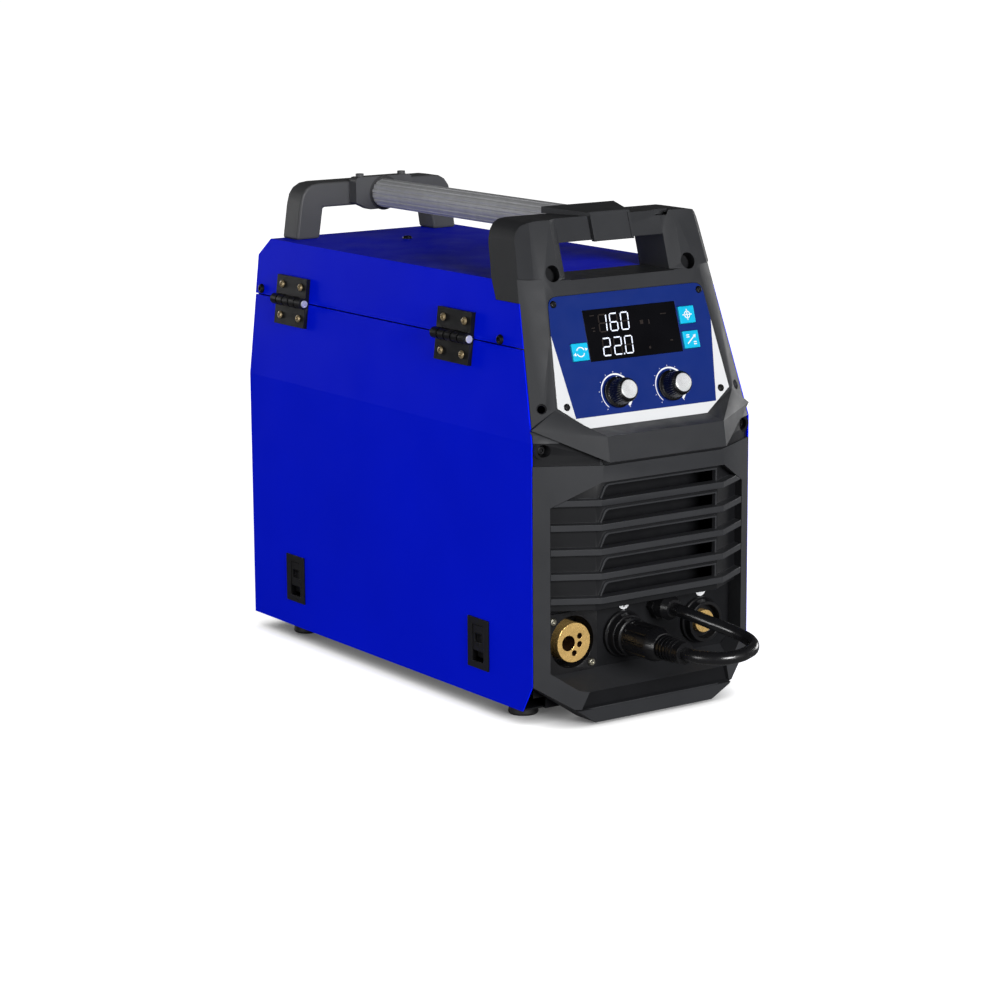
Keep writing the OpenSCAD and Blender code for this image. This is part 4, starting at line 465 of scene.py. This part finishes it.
def lean_slot_ends(work):
    """The left ends of the grille's slots and rims lean, and their upper corners are round."""
    corners = [v for v in work.verts
               if SLOT_LEFT[0] < v.co.x / MM < SLOT_LEFT[1] and on_slot_top(v.co.z / MM)]
    for vertex in corners:
        vertex.co.x += SLOT_LEAN * MM
    kept = set(corners)
    # The edges between them that run from front to back
    edges = [e for e in work.edges if e.verts[0] in kept and e.verts[1] in kept
             and abs(e.verts[0].co.y - e.verts[1].co.y) > 1.0 * MM]
    bmesh.ops.bevel(work, geom=edges, offset=SLOT_ROUND * MM, offset_type="OFFSET", segments=4,
                    profile=0.5, affect="EDGES", clamp_overlap=True)


def shade_grille(work):
    """The plate behind the bars gets painted shade, a darker finish than the bars."""
    lean_slot_ends(work)
    for face in work.faces:
        across = face.normal.copy()
        across.z = 0.0
        out = face.calc_center_median().dot(across) / MM
        upright = across.y < -0.8 and across.length > 0.9
        # Painted shade on the plate between the bars.
        face.material_index = 1 if upright and out < PLATE_OUT else 0


def in_bezel_hole(face):
    """Whether a face of the bezel lies in one of its four screw holes."""
    middle = face.calc_center_median()
    on_face = FACE.inverted() @ middle
    upper = math.hypot(abs(on_face.x) - UPPER_HOLE[0], on_face.y - UPPER_HOLE[1])
    lower = math.hypot(abs(middle.x) / MM - POCKET[0], middle.z / MM - POCKET[1])
    in_upper = upper < UPPER_HOLE_R and on_face.z < UPPER_HOLE_RIM
    in_pocket = lower < POCKET_R and middle.y / MM > POCKET_RIM
    return in_upper or in_pocket


def shade_bezel(work):
    """A trough along the front of the tray, with painted shade on its faces and in the screw holes."""
    ledge = []
    for face in work.faces:
        # The faces in the screw holes get painted shade.
        face.material_index = 1 if in_bezel_hole(face) else 0
        middle = face.calc_center_median() / MM
        leaning_back = face.normal.y < -0.9 and -0.3 < face.normal.z < -0.1
        if leaning_back and LEDGE_Z[0] < middle.z < LEDGE_Z[1] and abs(middle.x) < LEDGE_HALF:
            ledge.append(face)
    sides = bmesh.ops.inset_region(work, faces=ledge, thickness=TROUGH_INSET * MM,
                                   depth=-TROUGH_DEPTH * MM)["faces"]
    # The trough's faces get painted shade.
    for face in ledge + sides:
        face.material_index = 1


def part_knuckles(work):
    """The knuckles of the hinges end a little earlier, so that the pin shows between them."""
    for vertex in work.verts:
        x, y, z = vertex.co / MM
        middle = min(HINGE_Y, key=lambda at: abs(at - y))
        from_axis = math.hypot(x - HINGE_AXIS[0], z - HINGE_AXIS[1])
        if from_axis > KNUCKLE_REACH or abs(y - middle) > KNUCKLE_ENDS:
            continue
        own = math.floor((y - middle) / KNUCKLE + 0.5) * KNUCKLE + middle
        vertex.co.y += math.copysign(KNUCKLE_GAP, own - y) * MM


def shade_screws(work):
    """The two upper screws are black and the two of the torch connector are zinc plated."""
    for face in work.faces:
        face.material_index = 1 if face.calc_center_median().z / MM > BEZEL_SCREWS_Z else 0


def shade_torch(work):
    """The walls of the torch connector's bores get painted shade, a dark finish."""
    for face in work.faces:
        middle = face.calc_center_median()
        off = math.hypot(middle.x / MM - TORCH[0], middle.z / MM - TORCH[1])
        face.material_index = 1 if off < TORCH_BORES_R and abs(face.normal.y) < 0.5 else 0


# The nodes with a change of their own: the function and the finishes it chooses from
CHANGED = {
    "grille": (shade_grille, [BEZEL_GREY, BEZEL_PAINTED_SHADE]),
    "front_bezel": (shade_bezel, [BEZEL_GREY, BEZEL_PAINTED_SHADE]),
    "front_screws": (shade_screws, [SCREW_ZINC, SCREW_BLACK]),
    "torch_body": (shade_torch, [BRASS, BORE_PAINTED_SHADE]),
    "hinge_upper_leaves": (part_knuckles, [HINGE_BLACK]),
    "hinge_lower_leaves": (part_knuckles, [HINGE_BLACK]),
}
for node, edge in EDGES.items():
    dressed(node, edge, *CHANGED.get(node, ()))
for node in UNROUNDED:
    dressed(node, edge=0.0)

# ---------------------------------------------------------------- control face
PLATE_RISE = 0.3  # of the plate above the control face
GLASS_DEPTH = 0.2  # of the display's glass below the plate
BUTTON_RISE = 1.4  # of the buttons above the plate
PRINT_T = 0.06
# Top and low edges of the plate's blue field, and its half widths there
BLUE_TOP_V, BLUE_LOW_V = 92.0, 16.5
BLUE_TOP_U, BLUE_LOW_U = 78.5, 67.5
DISPLAY_V = 77.7
DISPLAY_SIZE = (88.6, 39.4)
BUTTONS = {"button_left": (-53.4, 66.2), "button_upper": (53.4, 85.7), "button_lower": (53.4, 66.2)}
KNOBS = {"knob_left": (-26.0, 32.5), "knob_right": (26.0, 32.5)}


def paint_plate(work):
    """Cuts the plate's mesh along the edges of its printed field, and gives the field its own finish."""
    to_face = FACE.inverted()
    cuts = [((0.0, BLUE_LOW_V), (0.0, 1.0))]
    for side in (-1.0, 1.0):
        along = Vector((side * (BLUE_TOP_U - BLUE_LOW_U), BLUE_TOP_V - BLUE_LOW_V)).normalized()
        cuts.append(((side * BLUE_LOW_U, BLUE_LOW_V), (along.y, -along.x)))
    for (u, v), (nu, nv) in cuts:
        at = FACE @ Vector((u, v, 0.0))
        normal = (FACE.to_3x3() @ Vector((nu, nv, 0.0))).normalized()
        geometry = work.verts[:] + work.edges[:] + work.faces[:]
        bmesh.ops.bisect_plane(work, geom=geometry, dist=0.000001, plane_co=at, plane_no=normal)
    for face in work.faces:
        middle = to_face @ face.calc_center_median()
        share = (middle.y - BLUE_LOW_V) / (BLUE_TOP_V - BLUE_LOW_V)
        edge = BLUE_LOW_U + share * (BLUE_TOP_U - BLUE_LOW_U)
        face.material_index = 1 if middle.y > BLUE_LOW_V and abs(middle.x) < edge else 0


dressed("control_plate", 0.25, paint_plate, [PRINT_WHITE, PRINT_BLUE])


def printed(name, outlines, at, material, body, thick=PRINT_T):
    """Thin raised print from outlines of (u, v) points, in the millimetres of the matrix at."""
    mesh = bpy.data.meshes.new(name)
    work = bmesh.new()
    for outline in outlines:
        corners = [work.verts.new((u, v, 0.0)) for u, v in outline]
        face = work.faces.new(corners)
        if face.normal.z < 0.0:
            face.normal_flip()
        face.normal_update()
        grown = bmesh.ops.extrude_face_region(work, geom=[face])["geom"]
        for item in grown:
            if isinstance(item, bmesh.types.BMVert):
                item.co.z += thick
    bmesh.ops.recalc_face_normals(work, faces=work.faces)
    work.to_mesh(mesh)
    work.free()
    add_piece(name, mesh, [material], body, at)


def band(radius, width, start, end, steps=40, grow=0.0):
    """An arc band as four-cornered outlines, in degrees clockwise from straight up.

    radius is that of its inner edge, and grow is what its width gains from start to end.
    """
    def at(angle, r):
        return (r * math.sin(angle), r * math.cos(angle))
    angles = [math.radians(start + (end - start) * i / steps) for i in range(steps + 1)]
    widths = [width + grow * i / steps for i in range(steps + 1)]
    return [
        [at(a, radius), at(a, radius + wa), at(b, radius + wb), at(b, radius)]
        for a, b, wa, wb in zip(angles, angles[1:], widths, widths[1:])
    ]


def bar(a, b, width):
    """A straight stroke between two points as an outline."""
    a, b = Vector(a), Vector(b)
    side = (b - a).normalized().orthogonal() * width / 2.0
    return [tuple(a - side), tuple(b - side), tuple(b + side), tuple(a + side)]


def moved(outlines, by):
    """The outlines, moved by (u, v)."""
    return [[(u + by[0], v + by[1]) for u, v in outline] for outline in outlines]


# Seven segment figures on the display: which of the segments a to g are lit
SEGMENTS = {"0": "abcdef", "1": "bc", "2": "abged", "6": "acdefg"}
FIGURE_W, FIGURE_H, STROKE, SLANT = 6.9, 13.2, 1.0, 0.06
FIGURE_PITCH = 10.5
SEGMENT_GAP = 0.25  # from a segment's pointed end to the figure's corner
# Decimal point: from the figure, its side and its low edge
POINT_AFTER, POINT_SIZE, POINT_LOW = 1.2, 1.1, -0.6
# Rows of figures, from the display's lower left corner: text, u and v
FIGURE_ROWS = (("160", 13.45, 21.8), ("22.0", 13.45, 3.4))
# Faint marks beside the figures: u, v, width and height
HINTS = (
    (6.0, 34.5, 4.4, 0.7), (6.0, 25.0, 3.2, 0.7), (6.8, 22.6, 2.2, 0.7), (52.5, 24.5, 3.0, 3.0),
    (60.5, 24.0, 1.1, 3.4), (73.0, 30.4, 5.6, 0.7), (57.0, 5.0, 1.8, 1.8), (78.5, 9.0, 2.4, 1.2),
)


def oblong(u, v, w, h):
    """A rectangle as an outline, from its lower left corner."""
    return [(u, v), (u + w, v), (u + w, v + h), (u, v + h)]


def segment(letter):
    """One bar of a figure with pointed ends, with (0, 0) at the figure's lower left corner."""
    half, w, h = STROKE / 2.0, FIGURE_W, FIGURE_H
    ends = {
        "a": ((0, h), (w, h)), "b": ((w, h), (w, h / 2)), "c": ((w, h / 2), (w, 0)),
        "d": ((0, 0), (w, 0)), "e": ((0, h / 2), (0, 0)), "f": ((0, h), (0, h / 2)),
        "g": ((0, h / 2), (w, h / 2)),
    }[letter]
    a, b = Vector(ends[0]), Vector(ends[1])
    along = (b - a).normalized()
    side = along.orthogonal() * half
    a, b = a + along * SEGMENT_GAP, b - along * SEGMENT_GAP
    points = [a, a + along * half + side, b - along * half + side, b, b - along * half - side,
              a + along * half - side]
    return [(p.x + SLANT * p.y, p.y) for p in points]


def figures(text, left, low):
    """Outlines of lit and unlit segments of a number. Its decimal points are among the lit ones."""
    lit, dim = [], []
    place = left
    for mark in text:
        if mark == ".":
            u = place - FIGURE_PITCH + FIGURE_W + POINT_AFTER
            lit.append(oblong(u, low + POINT_LOW, POINT_SIZE, POINT_SIZE))
            continue
        for letter in "abcdefg":
            shape = moved([segment(letter)], (place, low))
            (lit if letter in SEGMENTS[mark] else dim).extend(shape)
        place += FIGURE_PITCH
    return lit, dim


def make_display():
    """The figures on the display, its unlit segments and the faint marks beside them."""
    left, low = -DISPLAY_SIZE[0] / 2.0, DISPLAY_V - DISPLAY_SIZE[1] / 2.0
    lit, dim = [], []
    for text, u, v in FIGURE_ROWS:
        a, b = figures(text, left + u, low + v)
        lit += a
        dim += b
    hints = [oblong(left + u, low + v, w, h) for u, v, w, h in HINTS]
    at = FACE @ Matrix.Translation((0.0, 0.0, PLATE_RISE - GLASS_DEPTH))
    printed("display_figures", lit, at, SEGMENT_LIT, "case")
    printed("display_unlit", dim + hints, at, SEGMENT_DIM, "case", PRINT_T / 2.0)


make_display()

SCALE_R = 13.6
SCALE_TURN = 138.0  # degrees to each side of straight up
SCALE_WIDTH, SCALE_GROW = 0.5, 1.5
TICKS = 11
TICK_R = (15.6, 16.4)
TICK_WIDTH = 0.45


def make_scales():
    """A growing arc and its ticks round each knob."""
    shapes = []
    step = 2.0 * SCALE_TURN / (TICKS - 1)
    for centre in KNOBS.values():
        shapes += moved(band(SCALE_R, SCALE_WIDTH, -SCALE_TURN, SCALE_TURN, grow=SCALE_GROW), centre)
        for i in range(TICKS):
            angle = math.radians(-SCALE_TURN + step * i)
            out = Vector((math.sin(angle), math.cos(angle)))
            shapes.append(bar(*(Vector(centre) + out * r for r in TICK_R), TICK_WIDTH))
    at = FACE @ Matrix.Translation((0.0, 0.0, PLATE_RISE))
    printed("knob_scales", shapes, at, MARK_WHITE, "case")


make_scales()


def arrow_head(tip, direction, size):
    """A triangle as an outline, size long."""
    tip, direction = Vector(tip), Vector(direction).normalized()
    side = direction.orthogonal()
    back = tip - direction * size
    return [tuple(tip), tuple(back + side * size * 0.6), tuple(back - side * size * 0.6)]


def make_icons():
    """The signs on the buttons: two turning arrows, a wheel with spokes, and a slash between bars."""
    arrows = band(3.1, 0.9, -70.0, 70.0, 10) + band(3.1, 0.9, 110.0, 250.0, 10)
    arrows += [arrow_head((4.9, 0.2), (-0.35, -1.0), 2.4), arrow_head((-4.9, -0.2), (0.35, 1.0), 2.4)]
    feed = [bar((-4.6, 0.0), (4.6, 0.0), 0.8), bar((0.0, -4.4), (0.0, 4.4), 0.8)]
    feed += band(2.2, 0.8, 0.0, 360.0, 24)
    toggle = [bar((-4.2, -3.2), (3.4, 2.6), 0.9), arrow_head((4.8, 3.6), (1.0, 0.76), 2.6),
              bar((-4.6, 2.0), (-1.6, 2.0), 0.8), bar((-4.6, 3.6), (-1.6, 3.6), 0.8),
              bar((1.6, -2.2), (4.6, -2.2), 0.8), bar((1.6, -3.8), (4.6, -3.8), 0.8)]
    for (button, (u, v)), shapes in zip(BUTTONS.items(), (arrows, feed, toggle)):
        at = FACE @ Matrix.Translation((u, v, BUTTON_RISE + PLATE_RISE))
        printed(button + "_icon", shapes, at, MARK_WHITE, button)


make_icons()

# ---------------------------------------------------------------- knobs
# Radius and height above the control face, and 1 where the ribs are
KNOB_PROFILE = (
    (0.0, -9.4, 0), (3.0, -9.4, 0), (3.0, 0.8, 0), (11.4, 0.8, 0), (12.0, 1.4, 0), (12.0, 3.3, 0),
    (11.5, 3.8, 0), (10.3, 4.4, 0), (10.2, 5.2, 1), (9.8, 10.5, 1), (9.5, 14.6, 1), (8.9, 15.9, 1),
    (8.2, 16.9, 0), (7.6, 17.3, 0), (7.3, 17.3, 0), (7.2, 17.0, 0), (0.0, 17.0, 0),
)
CAP_PROFILE = ((7.15, 17.0, 0), (7.15, 17.35, 0), (6.7, 17.6, 0), (0.9, 17.55, 0), (0.0, 17.5, 0))
CAP_STEPS = 64
KNOB_RIBS = 30
RIB_DEPTH = 0.55
RIB_SHARP, CAP_SHARP = 40.0, 20.0  # as SHARP, for the two meshes of a knob
POINTER = ((0.0, 10.5), (0.0, 11.9))
POINTER_WIDTH = 0.9
POINTER_RISE = 3.75


def turned_mesh(name, profile, steps, angle):
    """A mesh turned about w from rows of profile. Its edges sharper than angle stay sharp."""
    mesh = bpy.data.meshes.new(name)
    work = bmesh.new()
    loops = []
    for radius, height, ribbed in profile:
        loop = []
        for i in range(steps):
            around = 2.0 * math.pi * i / steps
            cut = RIB_DEPTH * ribbed * (0.5 - 0.5 * math.cos(KNOB_RIBS * around)) ** 2
            r = max(radius - cut, 0.001)
            loop.append(work.verts.new((r * math.cos(around), r * math.sin(around), height)))
        loops.append(loop)
    for low, high in zip(loops, loops[1:]):
        for i in range(steps):
            j = (i + 1) % steps
            work.faces.new((low[i], low[j], high[j], high[i]))
    work.faces.new(list(reversed(loops[0])))
    work.faces.new(loops[-1])
    bmesh.ops.recalc_face_normals(work, faces=work.faces)
    work.to_mesh(mesh)
    work.free()
    smoothed(mesh, angle)
    return mesh


def make_knob(node, centre):
    """A ribbed knob with a turned metal cap and a pointer line on its skirt."""
    at = FACE @ Matrix.Translation((*centre, 0.0))
    mesh = turned_mesh(node + "_body", KNOB_PROFILE, KNOB_RIBS * 6, RIB_SHARP)
    body = add_piece(node + "_body", mesh, [KNOB_BLACK], node, at)
    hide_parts(node)
    cap = turned_mesh(node + "_cap", CAP_PROFILE, CAP_STEPS, CAP_SHARP)
    add_piece(node + "_cap", cap, [SPUN_ALLOY], node, at)
    on_skirt = at @ Matrix.Translation((0.0, 0.0, POINTER_RISE))
    printed(node + "_pointer", [bar(*POINTER, POINTER_WIDTH)], on_skirt, MARK_WHITE, node)


for node, centre in KNOBS.items():
    make_knob(node, centre)

# ---------------------------------------------------------------- marks and a dark gap
MARK_R = 5.0
MARK_Z = 84.7
MARK_ASIDE = 2.0  # of a mark's centre from its socket's, to the right
SIGN_ARM, SIGN_WIDTH = 3.2, 1.3
SIGN_START = 0.66  # of the plus sign's uprights, beside its bar
# The face of the front panel: u across, v up from the floor and w out of it
PANEL_FRONT = (
    Matrix.Translation(in_frame(0.0, PANEL_Y, 0.0)) @ Matrix.Rotation(math.pi / 2.0, 4, "X")
    @ Matrix.Scale(MM, 4)
)


def disc(radius, steps):
    """A round outline."""
    angles = [2.0 * math.pi * i / steps for i in range(steps)]
    return [(radius * math.cos(a), radius * math.sin(a)) for a in angles]


def make_polarity_marks():
    """A plus above the left output socket and a minus above the right one, on discs."""
    flat = [bar((-SIGN_ARM, 0.0), (SIGN_ARM, 0.0), SIGN_WIDTH)]
    upright = [bar((0.0, way * SIGN_START), (0.0, way * SIGN_ARM), SIGN_WIDTH) for way in (1.0, -1.0)]
    discs, signs = [], []
    for x, sign in zip(SOCKET_X, (flat + upright, flat)):
        discs += moved([disc(MARK_R, 48)], (x + MARK_ASIDE, MARK_Z))
        signs += moved(sign, (x + MARK_ASIDE, MARK_Z))
    printed("polarity_discs", discs, PANEL_FRONT, MARK_WHITE, "case")
    printed("polarity_signs", signs, PANEL_FRONT @ Matrix.Translation((0.0, 0.0, PRINT_T)), MARK_DARK,
            "case")


make_polarity_marks()

TUBE_GAP = 0.1
RING_WIDTH = 2.6


def make_tube_ring():
    """The dark gap where the tube enters its clamp at the rear."""
    low, high = (Vector(corner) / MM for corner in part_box("handle_tube"))
    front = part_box("handle_clamp")[0][1]
    radius = (high.z - low.z) / 2.0
    at = (Matrix.Translation((0.0, front, (low.z + high.z) / 2.0 * MM))
          @ Matrix.Rotation(math.pi / 2.0, 4, "X") @ Matrix.Scale(MM, 4))
    ring = band(radius + TUBE_GAP, RING_WIDTH, 0.0, 360.0, 64)
    printed("tube_ring", ring, at, MARK_DARK, "case")


make_tube_ring()

ROCKER = (-66.0, 410.0, 262.0)  # its axis, in case coordinates
ROCKER_TILT = math.radians(10.0)
ROCKER_LEAN = math.atan2(1.1, 11.2)  # of the rocker's two faces
ROCKER_OUT = 4.85  # of its faces from the axis, where the marks are
ROCKER_MARK_UP = 5.6


def make_rocker_marks():
    """The on and off marks of the power switch."""
    looking_out = Matrix(((-1, 0, 0, 0), (0, 0, 1, 0), (0, 1, 0, 0), (0, 0, 0, 1)))
    marks = (("rocker_on", ROCKER_MARK_UP, [bar((0.0, -2.2), (0.0, 2.2), 0.9)]),
             ("rocker_off", -ROCKER_MARK_UP, band(1.7, 0.8, 0.0, 360.0, 32)))
    for name, height, shapes in marks:
        lean = math.copysign(ROCKER_LEAN, height)
        at = (Matrix.Translation(in_frame(*ROCKER)) @ Matrix.Rotation(-ROCKER_TILT, 4, "X")
              @ Matrix.Translation(Vector((0.0, ROCKER_OUT, height)) * MM)
              @ Matrix.Rotation(-lean, 4, "X") @ looking_out @ Matrix.Scale(MM, 4))
        printed(name, shapes, at, MARK_WHITE, BODY_OF["power_rocker"])


make_rocker_marks()

# ---------------------------------------------------------------- welding wire
TURNS = 24
TURN_STEPS = 24
TURN_D = 1.5
WIRE_D = 1.0
PACK_D = 154.0  # of the wound wire below the outer layer
TURN_R = PACK_D / 2.0 + TURN_D / 2.0 + 0.9
GUIDE_END = (-68.0, 149.0, 62.0)  # where the wire bends into its line, in case coordinates
# The mouth of the inlet guide, y and z from the spool's axis
GUIDE_MOUTH = (152.0 - SPOOL[0], TORCH[1] - SPOOL[1])
# The angle on the spool at which the wire leaves it for the guide's mouth, along a tangent
LEAVE = math.atan2(GUIDE_MOUTH[1], GUIDE_MOUTH[0]) + math.acos(TURN_R / math.hypot(*GUIDE_MOUTH))


def on_spool(x, angle):
    """A point of the outer layer, in case coordinates."""
    return x, SPOOL[0] + TURN_R * math.cos(angle), SPOOL[1] + TURN_R * math.sin(angle)


def make_winding():
    """The outer layer of wire as one unbroken helix, on the turns of the source."""
    low_x, high_x = (corner[0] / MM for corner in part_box("wire_winding"))
    first, pitch = high_x - TURN_D / 2.0, (high_x - low_x - TURN_D) / TURNS
    count = TURNS * TURN_STEPS
    route = [in_frame(*on_spool(first - i * pitch / TURN_STEPS,
                                LEAVE - (count - i) * 2.0 * math.pi / TURN_STEPS))
             for i in range(count + 1)]
    wire = wire_along("wound_wire", "POLY", route, TURN_D, 3, COPPER)
    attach(wire, "spool")
    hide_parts("wire_winding")


def make_feed_wire():
    """The wire from the last turn through the guide and the rolls to the torch connector."""
    last_turn_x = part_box("wire_winding")[0][0] / MM + TURN_D / 2.0
    front_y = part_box("welding_wire")[0][1] / MM - FRONT_Y
    knots = (on_spool(last_turn_x, LEAVE), GUIDE_END, (GUIDE_END[0], front_y, GUIDE_END[2]))
    route = [in_frame(*point) for point in knots]
    wire = wire_along("feed_wire", "POLY", route, WIRE_D, 3, COPPER)
    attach(wire, BODY_OF["welding_wire"])
    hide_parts("welding_wire")


make_winding()
make_feed_wire()

# ---------------------------------------------------------------- studio
# Lengths are in metres here
FLOOR_HALF = 60.0
FLOOR_COLOR = (0.80, 0.80, 0.80)
FLOOR_GLOW, FLOOR_GLOW_FAR = 1.2, 1.26  # at the object and far from it
GLOW_CHANGE = (0.6, 2.5)  # distances from the object between which the glow changes
PAINTED_SHADOW_REACH = 0.026  # of the painted contact shadow round the feet
PAINTED_SHADOW_GLOW = 0.06  # glow of the floor right under a foot, where the painted shadow is darkest
PAINTED_SHADOW_OPEN = (0.2, 0.9)  # share of open sky between which the glow rises out of the painted shadow
FLOOR_BOUNCE = (0.30, 0.30, 0.30)  # colour of the floor in reflections and for bounced light
AMBIENT, AMBIENT_ABOVE = 0.10, 0.02  # of the room near the floor and overhead
AMBIENT_CHANGE = (0.15, 0.7)  # heights on the room's sphere between which it changes
WHITE = (1.0, 1.0, 1.0, 1.0)
# Soft lamps: name, place, size and power
LAMPS = (
    ("front", (-0.1, -3.2, 0.95), (1.6, 1.0), 114.0),
    ("left", (-3.1, -0.5, 0.5), (1.4, 0.9), 30.0),
    ("right", (3.1, 0.2, 0.5), (1.4, 0.8), 22.0),
    ("back", (-0.3, 3.3, 0.5), (1.6, 0.8), 30.0),
)
LAMP_AIM = Vector((0.0, 0.0, 0.18))


def soft_light(name, at, size, power):
    """A white rectangular lamp that points at the middle of the object."""
    data = bpy.data.lights.new(name, "AREA")
    data.shape = "RECTANGLE"
    data.size, data.size_y = size
    data.energy = power
    light = bpy.data.objects.new(name, data)
    bpy.context.collection.objects.link(light)
    light.location = at
    light.rotation_euler = (LAMP_AIM - Vector(at)).to_track_quat("-Z", "Y").to_euler()


def make_floor():
    """A pale floor that glows for the camera, has a painted contact shadow round the feet and throws
    back little light.
    """
    data = bpy.data.meshes.new("floor")
    corners = [(x * FLOOR_HALF, y * FLOOR_HALF, 0.0) for x, y in ((-1, -1), (1, -1), (1, 1), (-1, 1))]
    data.from_pydata(corners, [], [(0, 1, 2, 3)])
    material = finish("floor_pale", FLOOR_COLOR, 0.7, specular=0.0, drift=0.01, drift_size=900.0,
                      glow=FLOOR_GLOW)
    tree = material.node_tree
    # Painted contact shadow: the floor's glow drops where the object hides the sky near it.
    near = tree.nodes.new("ShaderNodeAmbientOcclusion")
    near.inputs["Distance"].default_value = PAINTED_SHADOW_REACH
    away = tree.nodes.new("ShaderNodeVectorMath")
    away.operation = "LENGTH"
    tree.links.new(tree.nodes.new("ShaderNodeTexCoord").outputs["Object"], away.inputs[0])
    glow = summed(tree, ranged(tree, near.outputs["AO"], PAINTED_SHADOW_GLOW, FLOOR_GLOW, *PAINTED_SHADOW_OPEN),
                  ranged(tree, away.outputs["Value"], 0.0, 1.0, *GLOW_CHANGE),
                  FLOOR_GLOW_FAR - FLOOR_GLOW)
    tree.links.new(glow, tree.nodes["Principled BSDF"].inputs["Emission Strength"])
    dull = tree.nodes.new("ShaderNodeBsdfDiffuse")
    dull.inputs["Color"].default_value = (*FLOOR_BOUNCE, 1.0)
    seen_or_not(tree, dull.outputs["BSDF"], tree.nodes["Principled BSDF"].outputs["BSDF"],
                tree.nodes["Material Output"].inputs["Surface"])
    data.materials.append(material)
    floor = bpy.data.objects.new("floor", data)
    bpy.context.collection.objects.link(floor)


def seen_or_not(tree, unseen, seen, target):
    """Joins two shaders: seen for what the camera looks at, unseen for light and reflections."""
    chosen = tree.nodes.new("ShaderNodeMixShader")
    tree.links.new(tree.nodes.new("ShaderNodeLightPath").outputs["Is Camera Ray"], chosen.inputs["Fac"])
    tree.links.new(unseen, chosen.inputs[1])
    tree.links.new(seen, chosen.inputs[2])
    tree.links.new(chosen.outputs["Shader"], target)


def make_studio():
    """The floor, a room that is darker overhead, a white backdrop for the camera, and the lamps."""
    make_floor()
    world = bpy.data.worlds.new("studio")
    bpy.context.scene.world = world
    world.use_nodes = True
    tree = world.node_tree
    ambient = tree.nodes["Background"]
    ambient.inputs["Color"].default_value = WHITE
    height = tree.nodes.new("ShaderNodeSeparateXYZ")
    tree.links.new(tree.nodes.new("ShaderNodeTexCoord").outputs["Generated"], height.inputs["Vector"])
    tree.links.new(ranged(tree, height.outputs["Z"], AMBIENT, AMBIENT_ABOVE, *AMBIENT_CHANGE),
                   ambient.inputs["Strength"])
    backdrop = tree.nodes.new("ShaderNodeBackground")
    backdrop.inputs["Color"].default_value = WHITE
    backdrop.inputs["Strength"].default_value = 1.0
    seen_or_not(tree, ambient.outputs["Background"], backdrop.outputs["Background"],
                tree.nodes["World Output"].inputs["Surface"])
    for light in LAMPS:
        soft_light(*light)
    bpy.context.scene.view_settings.view_transform = "Standard"


make_studio()
